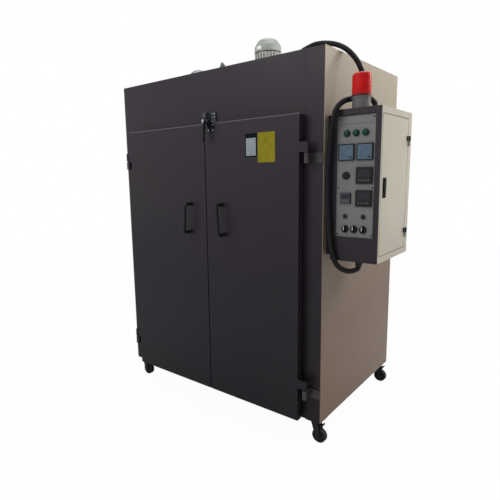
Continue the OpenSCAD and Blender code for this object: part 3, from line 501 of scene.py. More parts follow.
# Screws and bolts
# Plated cross-head screws fix what is screwed on from outside. One tree turns out every set.
plated_steel = Finish("plated_steel", (0.62, 0.61, 0.58), 0.28, 1.0).vary(120, 0.3).rough(200, 0.2, 0.4)
# Near-black for the screws' cross slots and the inside of the motor cowl: painted shade.
recess_painted_shade = Finish("recess_painted_shade", (0.01, 0.01, 0.01), 0.8).vary(300, 0.2)


def screw_tree():
    tree = node_tree("cross_head_screws")
    ids = {"radius": add_input(tree, "Head radius", "NodeSocketFloat", 0.004),
           "height": add_input(tree, "Head height", "NodeSocketFloat", 0.002),
           "out": add_input(tree, "Outward", "NodeSocketVector", (0, -1, 0)),
           "steel": add_input(tree, "Steel", "NodeSocketMaterial"),
           "recess": add_input(tree, "Recess", "NodeSocketMaterial")}
    start = tree.nodes.new("NodeGroupInput")
    end = tree.nodes.new("NodeGroupOutput")
    head = tree.nodes.new("GeometryNodeMeshCone")
    head.inputs["Vertices"].default_value = 16
    shank = tree.nodes.new("GeometryNodeMeshCylinder")
    shank.inputs["Vertices"].default_value = 16
    half_height = math_node(tree, "MULTIPLY", start.outputs["Head height"], 0.5)
    tree.links.new(start.outputs["Head radius"], head.inputs["Radius Bottom"])
    tree.links.new(math_node(tree, "MULTIPLY", start.outputs["Head radius"], 0.68), head.inputs["Radius Top"])
    tree.links.new(half_height, head.inputs["Depth"])
    tree.links.new(start.outputs["Head radius"], shank.inputs["Radius"])
    tree.links.new(half_height, shank.inputs["Depth"])
    lift = tree.nodes.new("ShaderNodeCombineXYZ")
    tree.links.new(half_height, lift.inputs["Z"])
    raise_head = tree.nodes.new("GeometryNodeTransform")
    tree.links.new(head.outputs["Mesh"], raise_head.inputs["Geometry"])
    tree.links.new(lift.outputs[0], raise_head.inputs["Translation"])
    base_lift = tree.nodes.new("ShaderNodeCombineXYZ")
    tree.links.new(math_node(tree, "MULTIPLY", half_height, 0.5), base_lift.inputs["Z"])
    raise_base = tree.nodes.new("GeometryNodeTransform")
    tree.links.new(shank.outputs["Mesh"], raise_base.inputs["Geometry"])
    tree.links.new(base_lift.outputs[0], raise_base.inputs["Translation"])
    metal = tree.nodes.new("GeometryNodeJoinGeometry")
    tree.links.new(raise_head.outputs[0], metal.inputs[0])
    tree.links.new(raise_base.outputs[0], metal.inputs[0])
    metal_paint = tree.nodes.new("GeometryNodeSetMaterial")
    tree.links.new(metal.outputs[0], metal_paint.inputs["Geometry"])
    tree.links.new(start.outputs["Steel"], metal_paint.inputs["Material"])
    whole = tree.nodes.new("GeometryNodeJoinGeometry")
    tree.links.new(metal_paint.outputs[0], whole.inputs[0])
    # Two thin dark bars on the head stand for the cross slot: painted shade of the recess.
    for length_share, width_share in ((1.0, 0.2), (0.2, 1.0)):
        bar = tree.nodes.new("GeometryNodeMeshCube")
        span = tree.nodes.new("ShaderNodeCombineXYZ")
        tree.links.new(math_node(tree, "MULTIPLY", start.outputs["Head radius"], length_share), span.inputs["X"])
        tree.links.new(math_node(tree, "MULTIPLY", start.outputs["Head radius"], width_share), span.inputs["Y"])
        tree.links.new(math_node(tree, "MULTIPLY", start.outputs["Head height"], 0.2), span.inputs["Z"])
        tree.links.new(span.outputs[0], bar.inputs["Size"])
        bar_lift = tree.nodes.new("ShaderNodeCombineXYZ")
        tree.links.new(math_node(tree, "MULTIPLY", start.outputs["Head height"], 0.96), bar_lift.inputs["Z"])
        raise_bar = tree.nodes.new("GeometryNodeTransform")
        tree.links.new(bar.outputs["Mesh"], raise_bar.inputs["Geometry"])
        tree.links.new(bar_lift.outputs[0], raise_bar.inputs["Translation"])
        bar_paint = tree.nodes.new("GeometryNodeSetMaterial")
        tree.links.new(raise_bar.outputs[0], bar_paint.inputs["Geometry"])
        tree.links.new(start.outputs["Recess"], bar_paint.inputs["Material"])
        tree.links.new(bar_paint.outputs[0], whole.inputs[0])
    turn = tree.nodes.new("FunctionNodeAlignRotationToVector")
    turn.axis = "Z"
    tree.links.new(start.outputs["Outward"], turn.inputs["Vector"])
    place = tree.nodes.new("GeometryNodeInstanceOnPoints")
    tree.links.new(start.outputs["Geometry"], place.inputs["Points"])
    tree.links.new(whole.outputs[0], place.inputs["Instance"])
    tree.links.new(turn.outputs[0], place.inputs["Rotation"])
    real = tree.nodes.new("GeometryNodeRealizeInstances")
    tree.links.new(place.outputs[0], real.inputs[0])
    tree.links.new(real.outputs[0], end.inputs["Geometry"])
    return tree, ids


screw_heads, screw_inputs = screw_tree()


def screws(name, points, out, radius, height, body, steel=plated_steel):
    seed = bpy.data.meshes.new(name)
    seed.from_pydata([Vector(p) for p in points], [], [])
    piece = grown(name, screw_heads, seed, {
        screw_inputs["radius"]: radius, screw_inputs["height"]: height, screw_inputs["out"]: tuple(out),
        screw_inputs["steel"]: steel.material, screw_inputs["recess"]: recess_painted_shade.material}, body)
    return piece


# Hinges
# Each door hangs on two barrel hinges. A strap welded to the lower knuckle lies on the front frame
# up to the cabinet's corner and is screwed to it, and all is painted over with the dark enamel.
hinge_enamel = Finish("hinge_enamel", (0.042, 0.035, 0.040), 0.36).vary(20, 0.2).rough(40, 0.32, 0.44).gloss(0.35)
dress(["frame_hinges"], hinge_enamel, 0.0008)
hinge_low, hinge_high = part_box("frame_hinges")
STRAP_FACE = FRAME_FACE - 0.005
strap_heights = [hinge_low.z + 0.011, hinge_low.z + 0.033, hinge_high.z - 0.055, hinge_high.z - 0.033]
for side_name, strap_x in (("left", hinge_low.x + 0.010), ("right", hinge_high.x - 0.010)):
    screws(side_name + "_strap_screws", [(strap_x, STRAP_FACE, z) for z in strap_heights],
           (0, -1, 0), 0.0045, 0.0022, "cabinet", hinge_enamel)

# Latch
# A cast black plate with two ears is screwed to the right door and holds the lever on a pin. The plated head at the
# lever's end rolls under the strike, a steel plate screwed to the header whose dark bluish colour is painted shade.
black_casting = Finish("black_casting", (0.008, 0.008, 0.010), 0.38).vary(50, 0.3).rough(90, 0.3, 0.5)
black_casting.grain(500, 0.0002).gloss(0.22)
chrome = Finish("latch_chrome", (0.50, 0.53, 0.57), 0.25, 1.0).vary(60, 0.4).rough(120, 0.18, 0.34)
# Dark bluish steel for the strike: painted shade of plated steel under the header.
steel_in_painted_shade = Finish("steel_in_painted_shade", (0.05, 0.06, 0.072), 0.4, 0.3).vary(60, 0.3).rough(90, 0.32, 0.5).gloss(0.5)
dress(["latch_base"], black_casting, 0.001)
dress(["strike"], steel_in_painted_shade, 0.001)


def merged_copy(name, node):
    """A copy of a CAD node as one closed mesh, to be given more than one material."""
    shape = bmesh.new()
    shape.from_mesh(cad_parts[node].data)
    bmesh.ops.remove_doubles(shape, verts=shape.verts, dist=0.00001)
    mesh = bpy.data.meshes.new(name)
    shape.to_mesh(mesh)
    shape.free()
    piece = bpy.data.objects.new(name, mesh)
    scene.collection.objects.link(piece)
    seam = piece.modifiers.new("weld", "NODES")
    seam.node_group = welded
    return piece


lever = merged_copy("latch_lever_plated", "latch_lever")
lever_low, lever_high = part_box("latch_lever")
HEAD_LENGTH, HEAD_DIAMETER = 0.014, 0.028
lever.data.materials.append(black_casting.material)
lever.data.materials.append(chrome.material)
for face in lever.data.polygons:
    in_head = face.center.x < lever_low.x + HEAD_LENGTH + 0.0005 and face.center.z > lever_high.z - HEAD_DIAMETER
    face.material_index = 1 if in_head else 0
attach(lever, "latch_lever")
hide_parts("latch_lever")
base_low, base_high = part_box("latch_base")
plate_face = DOOR_FACE - 0.005
screws("latch_screws", [(x, plate_face, z) for x in (base_low.x + 0.005, base_high.x - 0.005)
                        for z in (RIGHT_DOOR_HIGH.z - 0.010, RIGHT_DOOR_HIGH.z - 0.038)],
       (0, -1, 0), 0.0035, 0.0018, "right_door")
strike_low, strike_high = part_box("strike")
screws("strike_screws", [(x, FRAME_FACE - 0.008, z) for x in (strike_low.x + 0.038, strike_high.x - 0.007)
                         for z in (strike_high.z - 0.008, strike_high.z - 0.024)],
       (0, -1, 0), 0.0035, 0.0018, "cabinet")

# Handles
# Two bow handles bent from round bar and coated black, screwed on through the doors from behind.
# Their upper ends lean a little towards the gap between the doors.
dress(["left_handle", "right_handle"], black_casting, 0.0015)

# Fan motor
# A finned aluminium motor body stands on a flange over the fan's shaft, under a drawn sheet cowl.
# All is in a grey-green hammer enamel, and a bare plate is riveted to the cowl.
motor_enamel = Finish("motor_enamel", (0.33, 0.36, 0.325), 0.4).vary(25, 0.25).rough(60, 0.3, 0.5)
motor_enamel.grain(260, 0.0004)
fin_aluminium = Finish("fin_aluminium", (0.70, 0.72, 0.69), 0.42, 0.2).vary(40, 0.3).rough(70, 0.35, 0.55)
fin_aluminium.grain(300, 0.0003)
dress(["motor_terminal_box"], motor_enamel, 0.0015)
dress(["motor_body"], fin_aluminium, 0.0008)
cowl_low, cowl_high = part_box("motor_cowl")
cowl_middle = (cowl_low + cowl_high) / 2
COWL_RADIUS = (cowl_high.x - cowl_low.x) / 2 - 0.002
VENT_HEIGHT = 0.37 * (cowl_high.z - cowl_low.z)
cowl = merged_copy("cowl_sheet", "motor_cowl")
cowl.data.materials.append(motor_enamel.material)
cowl.data.materials.append(recess_painted_shade.material)
# The cowl's inner faces up to the vent height are painted near-black: painted shade inside the cowl.
for face in cowl.data.polygons:
    reach = math.hypot(face.center.x - cowl_middle.x, face.center.y - cowl_middle.y)
    face.material_index = 1 if reach < COWL_RADIUS - 0.002 and face.center.z < cowl_low.z + VENT_HEIGHT else 0
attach(cowl, "cabinet")
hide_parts("motor_cowl")


def wrapped_plate(name, axis, radius, low, high, start, sweep, thickness, finish, body):
    """A thin plate bent round an upright cylinder."""
    shape = bmesh.new()
    steps = 16
    rows = []
    for level, reach in ((low, radius), (low, radius + thickness), (high, radius + thickness), (high, radius)):
        row = []
        for i in range(steps + 1):
            turn = math.radians(start + sweep * i / steps)
            row.append(shape.verts.new((axis.x + reach * math.cos(turn), axis.y + reach * math.sin(turn), level)))
        rows.append(row)
    for lower, upper in zip(rows, rows[1:] + rows[:1]):
        for i in range(steps):
            shape.faces.new((lower[i], lower[i + 1], upper[i + 1], upper[i]))
    for i in (0, steps):
        shape.faces.new([row[i] for row in rows])
    bmesh.ops.recalc_face_normals(shape, faces=shape.faces)
    mesh = bpy.data.meshes.new(name)
    shape.to_mesh(mesh)
    shape.free()
    mesh.materials.append(finish.material)
    piece = bpy.data.objects.new(name, mesh)
    scene.collection.objects.link(piece)
    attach(piece, body)
    return piece


bare_aluminium = Finish("bare_aluminium", (0.86, 0.86, 0.84), 0.3, 0.5).vary(80, 0.1).rough(90, 0.2, 0.4)
cowl_plate = wrapped_plate("cowl_plate", cowl_middle, COWL_RADIUS - 0.0002, cowl_low.z + 0.014, cowl_low.z + 0.034,
                           -112, 24, 0.0008, bare_aluminium, "cabinet")
flange_bolts = [(cowl_middle.x + (COWL_RADIUS + 0.009) * math.cos(turn), cowl_middle.y
                 + (COWL_RADIUS + 0.009) * math.sin(turn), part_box("motor_body")[0].z + 0.014)
                for turn in [math.radians(22.5 + 45 * i) for i in range(8)]]
screws("motor_flange_bolts", flange_bolts, (0, 0, 1), 0.006, 0.004, "cabinet")
lid_low, lid_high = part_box("motor_terminal_box")
screws("terminal_lid_screws", [(lid_low.x, y, z) for y in (lid_low.y + 0.009, lid_high.y - 0.009)
                               for z in (lid_low.z + 0.009, lid_high.z - 0.009)],
       (-1, 0, 0), 0.0035, 0.002, "cabinet")

# Exhaust pipe and damper
# A bend of galvanised sheet on a flange that is screwed to the roof, with a bead where a duct slides
# on. A butterfly damper turns in it on a spindle, and the flat lever at the spindle's end sets it.
zinc = Finish("galvanised_sheet", (0.17, 0.20, 0.215), 0.42, 0.55).gloss(0.3)
spangle = zinc.tree.nodes.new("ShaderNodeTexVoronoi")
spangle.inputs["Scale"].default_value = 90
zinc.tree.links.new(zinc.place, spangle.inputs["Vector"])
zinc.vary(12, 0.3).blend(zinc.spread(spangle.outputs["Color"], 0.2, 0.9, 0.0, 0.35), (0.29, 0.34, 0.36))
zinc.rough(40, 0.28, 0.5)
dress(["exhaust_pipe", "damper"], zinc, 0.0005)
pipe_low, pipe_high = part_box("exhaust_pipe")
pipe_middle = (pipe_low + pipe_high) / 2
FLANGE_RADIUS, FLANGE_SCREW_RADIUS = 0.063, 0.054
screws("exhaust_flange_screws", [(pipe_middle.x + FLANGE_SCREW_RADIUS * math.cos(turn),
                                  pipe_low.y + FLANGE_RADIUS + FLANGE_SCREW_RADIUS * math.sin(turn),
                                  pipe_low.z + 0.003) for turn in [math.radians(30 + 60 * i) for i in range(6)]],
       (0, 0, 1), 0.0045, 0.0022, "cabinet")

# Control box
# A folded sheet box in the cream enamel, bolted to the cabinet on a black bracket, with a dark
# front frame. Its side door hangs on two black lift-off hinges and closes with a flush lock.
box_enamel = Finish("box_enamel", (0.45, 0.415, 0.33), 0.3).vary(2.5, 0.05, 1.0).rough(7, 0.27, 0.34)
box_enamel.grain(650, 0.00008).gloss(0.3)
dress(["box_shell"], box_enamel, 0.0008)
dress(["box_fascia"], cabinet_enamel_with_painted_shade, 0.001)
lock_black = Finish("lock_black", (0.006, 0.006, 0.006), 0.6).vary(80, 0.3).rough(90, 0.5, 0.7).gloss(0.05)
dress(["box_bracket"], black_casting, 0.0008)
dress(["box_lock"], lock_black, 0.0008)
dress(["mounting_plate"], zinc, 0)
door_sheet = merged_copy("box_door_sheet", "box_door")
sheet_low, sheet_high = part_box("box_door")
HINGE_START = sheet_low.x + 0.0041
door_sheet.data.materials.append(box_enamel.material)
door_sheet.data.materials.append(black_casting.material)
for face in door_sheet.data.polygons:
    face.material_index = 1 if face.center.x > HINGE_START and face.center.y > sheet_high.y - 0.04 else 0
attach(door_sheet, "box_door")
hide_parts("box_door")

# Instrument panel
# A silver-grey anodised sheet behind the front frame, held by six black screws. Its title strip
# is left bare above a fine engraved rule.
panel_grey = Finish("panel_anodised", (0.160, 0.164, 0.155), 0.45, 0.15).gloss(0.3).vary(6, 0.15).rough(30, 0.38, 0.55)
panel_grey.grain(150, 0.0001, (1, 1, 12))
dress(["instrument_panel"], panel_grey, 0)
fascia_low, fascia_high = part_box("box_fascia")
PANEL_FACE = fascia_high.y
WINDOW = {"left": fascia_low.x + 0.024, "right": fascia_high.x - 0.024,
          "foot": fascia_low.z + 0.111, "top": fascia_high.z - 0.030}
window_middle = (WINDOW["left"] + WINDOW["right"]) / 2
screws("panel_screws", [(x, PANEL_FACE, z) for x in (WINDOW["left"] + 0.008, WINDOW["right"] - 0.008)
                        for z in (WINDOW["top"] - 0.012, WINDOW["top"] - 0.31, WINDOW["foot"] + 0.012)],
       (0, -1, 0), 0.0035, 0.0018, "cabinet", black_casting)
rule = thin_plate("panel_rule", Vector((window_middle, PANEL_FACE, WINDOW["top"] - 0.035)), ACROSS, UP,
                  (0.15, 0.0012), 0.0003, 0.0004, [black_foil], "cabinet", chamfer=0.0001)

# Signal lamps
# Three pilot lamps, each a green ribbed lens in a black collar that a nut clamps to the panel.
lens_green = Finish("lens_green", (0.003, 0.050, 0.027), 0.3).vary(90, 0.3).rough(120, 0.25, 0.4).gloss(0.15)
black_plastic = Finish("black_plastic", (0.007, 0.009, 0.008), 0.32).vary(60, 0.3).rough(100, 0.26, 0.42)
black_plastic.grain(700, 0.0001).gloss(0.2)


def turned(name, middle, out, profile, finishes, body, sides=48, flutes=0, flute_depth=0.0):
    """A solid of revolution on an axis out of a face, with upright flutes pressed into it if asked.

    The profile holds radius, height and finish number."""
    turn = Vector(out).to_track_quat("Z", "Y").to_matrix()
    shape = bmesh.new()
    rings = []
    for radius, height, _ in profile:
        if radius == 0:
            rings.append([shape.verts.new(middle + turn @ Vector((0, 0, height)))] * sides)
            continue
        ring = []
        for i in range(sides):
            angle = math.tau * i / sides
            reach = radius - flute_depth * (0.5 - 0.5 * math.cos(flutes * angle)) * min(1, radius / 0.03)
            ring.append(shape.verts.new(middle + turn @ Vector((reach * math.cos(angle), reach * math.sin(angle),
                                                                height))))
        rings.append(ring)
    for (lower, upper), (_, _, finish_number) in zip(zip(rings, rings[1:]), profile):
        for i in range(sides):
            corners = list(dict.fromkeys((lower[i], lower[(i + 1) % sides], upper[(i + 1) % sides], upper[i])))
            if len(corners) > 2:
                face = shape.faces.new(corners)
                face.material_index = finish_number
                face.smooth = True
    bmesh.ops.recalc_face_normals(shape, faces=shape.faces)
    mesh = bpy.data.meshes.new(name)
    shape.to_mesh(mesh)
    shape.free()
    mesh.set_sharp_from_angle(angle=0.6)
    for finish in finishes:
        mesh.materials.append(finish.material)
    piece = bpy.data.objects.new(name, mesh)
    scene.collection.objects.link(piece)
    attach(piece, body)
    return piece


WINDOW_HEIGHT = WINDOW["top"] - WINDOW["foot"]
ROW = {"lamp": 0.14, "meter": 0.293, "upper": 0.484, "lower": 0.671, "button": 0.824, "selector": 0.932}
COLUMN = 0.0415
LAMP_PROFILE = [(0.0, 0.0, 0), (0.015, 0.0, 0), (0.015, 0.004, 0), (0.0138, 0.0052, 0), (0.0128, 0.0052, 1),
                (0.0126, 0.011, 1), (0.0112, 0.0134, 1), (0.006, 0.0145, 1), (0.0, 0.0148, 1)]


def on_panel(column, row):
    return Vector((window_middle + column * COLUMN, PANEL_FACE, WINDOW["top"] - ROW[row] * WINDOW_HEIGHT))


OUT = Vector((0, -1, 0))
for number, column in enumerate((-1, 0, 1), 1):
    lamp_head = turned(f"signal_lamp_{number}", on_panel(column, "lamp"), OUT, LAMP_PROFILE,
                       [black_plastic, lens_green], "cabinet")
    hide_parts("lamps")

# Pointer meters
# Two square panel meters with a black rim, a pale scale plate with an arc of marks, and a clear
# cover. The pointer turns about a black hub in the lower right corner.
dress(["meters"], black_plastic, 0.0006)
scale_plate = Finish("scale_plate", (0.085, 0.13, 0.175), 0.4).gloss(0.2).vary(60, 0.12).rough(90, 0.35, 0.5)
scale_ink = Finish("scale_ink", (0.03, 0.06, 0.11), 0.5).vary(200, 0.2)
METER_FACE = 0.064
SCALE_RADIUS = 0.040


def scale_tree():
    """Marks on an arc round the pointer's hub, every fifth one longer."""
    tree = node_tree("scale_marks")
    ids = {"count": add_input(tree, "Marks", "NodeSocketInt", 26),
           "radius": add_input(tree, "Arc radius", "NodeSocketFloat", SCALE_RADIUS),
           "mark": add_input(tree, "Mark size", "NodeSocketVector", (0.004, 0.0006, 0.0003)),
           "ink": add_input(tree, "Ink", "NodeSocketMaterial")}
    start = tree.nodes.new("NodeGroupInput")
    end = tree.nodes.new("NodeGroupOutput")
    arc = tree.nodes.new("GeometryNodeCurveArc")
    arc.mode = "RADIUS"
    arc.inputs["Start Angle"].default_value = math.radians(95)
    arc.inputs["Sweep Angle"].default_value = math.radians(80)
    tree.links.new(start.outputs["Marks"], arc.inputs["Resolution"])
    tree.links.new(start.outputs["Arc radius"], arc.inputs["Radius"])
    points = tree.nodes.new("GeometryNodeCurveToPoints")
    points.mode = "EVALUATED"
    tree.links.new(arc.outputs["Curve"], points.inputs["Curve"])
    position = tree.nodes.new("GeometryNodeInputPosition")
    turn = tree.nodes.new("FunctionNodeAlignRotationToVector")
    turn.axis = "X"
    tree.links.new(position.outputs[0], turn.inputs["Vector"])
    bar = tree.nodes.new("GeometryNodeMeshCube")
    tree.links.new(start.outputs["Mark size"], bar.inputs["Size"])
    index = tree.nodes.new("GeometryNodeInputIndex")
    fifth = math_node(tree, "LESS_THAN", math_node(tree, "MODULO", index.outputs[0], 5.0), 0.5)
    stretch = tree.nodes.new("ShaderNodeCombineXYZ")
    tree.links.new(math_node(tree, "ADD", fifth, 1.0), stretch.inputs["X"])
    stretch.inputs["Y"].default_value = 1.0
    stretch.inputs["Z"].default_value = 1.0
    place = tree.nodes.new("GeometryNodeInstanceOnPoints")
    tree.links.new(points.outputs["Points"], place.inputs["Points"])
    tree.links.new(bar.outputs["Mesh"], place.inputs["Instance"])
    tree.links.new(turn.outputs[0], place.inputs["Rotation"])
    tree.links.new(stretch.outputs[0], place.inputs["Scale"])
    arc_line = tree.nodes.new("GeometryNodeCurveToMesh")
    band = tree.nodes.new("GeometryNodeCurvePrimitiveCircle")
    band.inputs["Resolution"].default_value = 6
    band.inputs["Radius"].default_value = 0.0003
    tree.links.new(arc.outputs["Curve"], arc_line.inputs["Curve"])
    tree.links.new(band.outputs["Curve"], arc_line.inputs["Profile Curve"])
    both = tree.nodes.new("GeometryNodeJoinGeometry")
    tree.links.new(place.outputs[0], both.inputs[0])
    tree.links.new(arc_line.outputs[0], both.inputs[0])
    real = tree.nodes.new("GeometryNodeRealizeInstances")
    tree.links.new(both.outputs[0], real.inputs[0])
    paint = tree.nodes.new("GeometryNodeSetMaterial")
    tree.links.new(real.outputs[0], paint.inputs["Geometry"])
    tree.links.new(start.outputs["Ink"], paint.inputs["Material"])
    tree.links.new(paint.outputs[0], end.inputs["Geometry"])
    return tree, ids


scale_marks, scale_inputs = scale_tree()
meter_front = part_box("meters")[0].y
SCALE_LEVEL = meter_front + 0.003
for number, column in enumerate((-1, 1), 1):
    middle = on_panel(column, "meter")
    middle.y = SCALE_LEVEL
    face = thin_plate(f"meter_scale_{number}", middle, ACROSS, UP, (METER_FACE - 0.001, METER_FACE - 0.001),
                      0.0005, 0.001, [scale_plate], "cabinet", chamfer=0.0001)
    marks = grown(f"meter_marks_{number}", scale_marks, bpy.data.meshes.new("empty_seed"), {
        scale_inputs["count"]: 26, scale_inputs["radius"]: SCALE_RADIUS,
        scale_inputs["ink"]: scale_ink.material}, "cabinet")
    hub = middle + ACROSS * 0.0216 - UP * 0.0216 + OUT * 0.0007
    marks.data.transform(Matrix.Translation(hub) @ Matrix.Rotation(math.radians(90), 4, "X"))
    needle_end = hub + Vector((-math.cos(math.radians(12)), 0, math.sin(math.radians(12)))) * 0.034
    needle_across = (needle_end - hub).normalized()
    needle = thin_plate(f"meter_needle_{number}", (hub + needle_end) / 2 + OUT * 0.0008, needle_across,
                        OUT.cross(needle_across), (0.034, 0.0012), 0.0003, 0.0004, [scale_ink], "cabinet",
                        chamfer=0.0001)

# Controllers and timer
# Two square digital controllers and a smaller timer: moulded black bezels with a smoked display
# window over a row of grey keys. The displays are off.
dress(["controllers"], black_plastic, 0.0005)
smoked_window = Finish("smoked_window", (0.012, 0.008, 0.018), 0.12).vary(20, 0.3).rough(30, 0.08, 0.16)
smoked_window.gloss(0.3)
timer_grey = Finish("timer_grey", (0.055, 0.072, 0.085), 0.4).vary(40, 0.2).rough(60, 0.34, 0.5).gloss(0.3)
key_grey = Finish("key_grey", (0.042, 0.045, 0.048), 0.5).vary(60, 0.2).rough(80, 0.4, 0.6)
CONTROLLER, TIMER = 0.072, 0.048
controller_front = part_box("controllers")[0].y
timer_spot = on_panel(-1, "lower")
timer_spot.y = controller_front
timer_face = thin_plate("timer_face", timer_spot, ACROSS, UP, (0.92 * TIMER, 0.92 * TIMER), 0.0006, 0.002,
                        [timer_grey], "cabinet", chamfer=0.0002)
for label, column, row, side, display_level in (
        ("upper_controller", 1, "upper", CONTROLLER, 0.002),
        ("lower_controller", 1, "lower", CONTROLLER, 0.002),
        ("timer", -1, "lower", TIMER, -0.0004)):
    middle = on_panel(column, row)
    display = Vector((middle.x, controller_front + display_level, middle.z + 0.15 * side))
    pane = thin_plate(label + "_display", display, ACROSS, UP, (0.79 * side, 0.45 * side), 0.0006, 0.001,
                      [smoked_window], "cabinet", chamfer=0.0002)
    strip = Vector((middle.x, controller_front - 0.0005, middle.z - 0.12 * side))
    line = thin_plate(label + "_line", strip, ACROSS, UP, (0.74 * side, 0.012 * side), 0.0003, 0.0003,
                      [key_grey], "cabinet", chamfer=0.0001)
    for key in range(4):
        key_middle = Vector((middle.x + (key - 1.5) * 0.19 * side, controller_front - 0.0006,
                             middle.z - 0.28 * side))
        cap = thin_plate(f"{label}_key_{key + 1}", key_middle, ACROSS, UP, (0.13 * side, 0.11 * side), 0.0005,
                         0.0008, [key_grey], "cabinet", chamfer=0.0002)

# Buzzer and push buttons
# A round black buzzer with sound slots at the left, and two small buttons under the controllers.
BUZZER_PROFILE = [(0.0, 0.0, 0), (0.017, 0.0, 0), (0.017, 0.006, 0), (0.0155, 0.0085, 0), (0.0135, 0.009, 0),
                  (0.0125, 0.0078, 0), (0.0095, 0.0078, 0), (0.009, 0.009, 0), (0.006, 0.009, 0),
                  (0.0055, 0.0078, 0), (0.0, 0.0078, 0)]
BUTTON_PROFILE = [(0.0, 0.0, 1), (0.0115, 0.0, 1), (0.0115, 0.003, 1), (0.0102, 0.0042, 0), (0.0082, 0.0042, 0),
                  (0.0082, 0.0085, 0), (0.0070, 0.0095, 0), (0.0, 0.0090, 0)]
button_blue = Finish("button_blue", (0.13, 0.17, 0.215), 0.3).vary(90, 0.3).rough(100, 0.24, 0.4)
button_green = Finish("button_green", (0.12, 0.15, 0.17), 0.3).vary(90, 0.3).rough(100, 0.24, 0.4)
for label, column, row, profile, cap_finish in (
        ("buzzer", -1, "upper", BUZZER_PROFILE, black_plastic),
        ("left_button", -1, "button", BUTTON_PROFILE, button_blue),
        ("right_button", 1, "button", BUTTON_PROFILE, button_green)):
    head = turned(label, on_panel(column, row), OUT, profile, [black_plastic, cap_finish], "cabinet")
    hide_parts("push_buttons")

# Rotary selectors
# Three black knobs with a raised grip and a white pointer line, each turning 45 degrees each way.
white_ink = Finish("white_ink", (0.75, 0.75, 0.73), 0.5).vary(100, 0.1)
for number, column in enumerate((-1, 0, 1), 1):
    knob = f"selector_{number}"
    dress([knob], black_plastic, 0.0006)
    knob_low, knob_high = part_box(knob)
    knob_middle = (knob_low + knob_high) / 2
    pointer_spot = Vector((knob_middle.x, knob_low.y, knob_middle.z + 0.005))
    pointer = thin_plate(knob + "_pointer", pointer_spot, ACROSS, UP, (0.0026, 0.018), 0.0003, 0.0006,
                         [white_ink], knob, chamfer=0.0001)

# Beacon
# A red signal beacon stands on the control box: a grey moulded base and a clear red dome with
# upright ribs inside, over a lamp with a turning mirror.
base_plastic = Finish("beacon_base_plastic", (0.12, 0.12, 0.115), 0.42).gloss(0.3).vary(30, 0.2).rough(60, 0.35, 0.5)
base_plastic.grain(300, 0.0002)
dress(["beacon_base"], base_plastic, 0.0015)
dome_red = Finish("dome_red", (0.66, 0.005, 0.005), 0.26).vary(30, 0.3).rough(60, 0.2, 0.32).gloss(0.1)
dome_red.shader.inputs["Transmission Weight"].default_value = 0.08
dome_ring = Finish("dome_ring", (0.10, 0.005, 0.006), 0.4).vary(60, 0.3).rough(90, 0.32, 0.48).gloss(0.25)
lamp_metal = Finish("lamp_metal", (0.5, 0.5, 0.5), 0.3, 1.0).vary(60, 0.2).rough(80, 0.2, 0.4)
dome_low, dome_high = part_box("beacon_dome")
dome_middle = (dome_low + dome_high) / 2
DOME_RADIUS = (dome_high.x - dome_low.x) / 2
DOME_HEIGHT = dome_high.z - dome_low.z
DOME_WALL = 0.0025
ROUND = 0.42 * DOME_RADIUS


def dome_profile(inset):
    radius, top, bend = DOME_RADIUS - inset, DOME_HEIGHT - inset, ROUND - inset
    line = [(radius, 0.0), (radius, top - bend)]
    for step in range(1, 9):
        turn = math.pi / 2 * step / 8
        line.append((radius - bend + bend * math.cos(turn), top - bend + bend * math.sin(turn)))
    return line + [(0.0, top)]


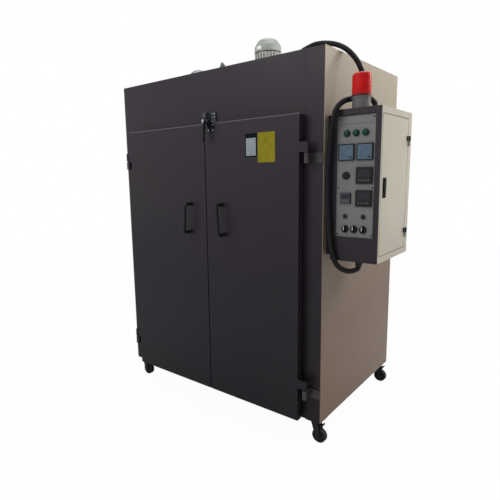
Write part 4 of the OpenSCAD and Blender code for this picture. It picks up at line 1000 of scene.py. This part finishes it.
dome_foot = Vector((dome_middle.x, dome_middle.y, dome_low.z))
dome_shell = [(r, h, 0) for r, h in dome_profile(0.0)] + [(r, h, 0) for r, h in reversed(dome_profile(DOME_WALL))]
dome = turned("beacon_dome_shell", dome_foot, UP, dome_shell + [(DOME_RADIUS, 0.0, 0)], [dome_red], "cabinet",
              96, 24, 0.0006)
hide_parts("beacon_dome")
RING_OUT = DOME_RADIUS + 0.0006
RING_PROFILE = [(DOME_RADIUS - 0.002, 0.0, 0), (RING_OUT, 0.0, 0), (RING_OUT, 0.010, 0), (RING_OUT - 0.0012, 0.0112, 0),
                (DOME_RADIUS - 0.002, 0.0112, 0), (DOME_RADIUS - 0.002, 0.0, 0)]
ring = turned("beacon_dome_ring", dome_foot, UP, RING_PROFILE, [dome_ring], "cabinet")
MIRROR_PROFILE = [(0.0, 0.0, 0), (0.030, 0.0, 0), (0.030, 0.008, 0), (0.012, 0.012, 0), (0.009, 0.03, 0),
                  (0.013, 0.055, 0), (0.010, 0.068, 0), (0.0, 0.070, 0)]
mirror = turned("beacon_mirror", dome_foot, UP, MIRROR_PROFILE, [lamp_metal], "cabinet")

# Cable glands
# Moulded black glands clamp the conduits where they enter the control box and the terminal box.
dress(["cable_glands"], black_plastic, 0.0008)

# Casters
# Four black swivel casters are bolted under the corners: a pressed top plate with its bearing, a
# pressed fork with a brake pedal, and a moulded wheel with a rubber tread.
caster_black = Finish("caster_black", (0.009, 0.010, 0.010), 0.4).vary(40, 0.3).rough(70, 0.32, 0.55)
caster_black.grain(400, 0.0002).gloss(0.22)
tread_rubber = Finish("tread_rubber", (0.014, 0.015, 0.015), 0.6).vary(60, 0.3).rough(60, 0.5, 0.75)
tread_rubber.grain(500, 0.0003).gloss(0.2)
CORNERS = ("fl", "fr", "rl", "rr")
dress(["caster_plates"] + ["fork_" + c for c in CORNERS], caster_black, 0.0006)
dress(["wheel_" + c for c in CORNERS], tread_rubber, 0)
plates_low, plates_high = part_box("caster_plates")
BOLT_IN = 0.010
PLATE_SIDE = 0.080
bolts = []
for plate_x in (plates_low.x, plates_high.x - PLATE_SIDE):
    for plate_y in (plates_low.y, plates_high.y - PLATE_SIDE):
        bolts += [(plate_x + dx, plate_y + dy, plates_high.z - 0.004)
                  for dx in (BOLT_IN, PLATE_SIDE - BOLT_IN) for dy in (BOLT_IN, PLATE_SIDE - BOLT_IN)]
screws("caster_bolts", bolts, (0, 0, -1), 0.006, 0.004, "cabinet")
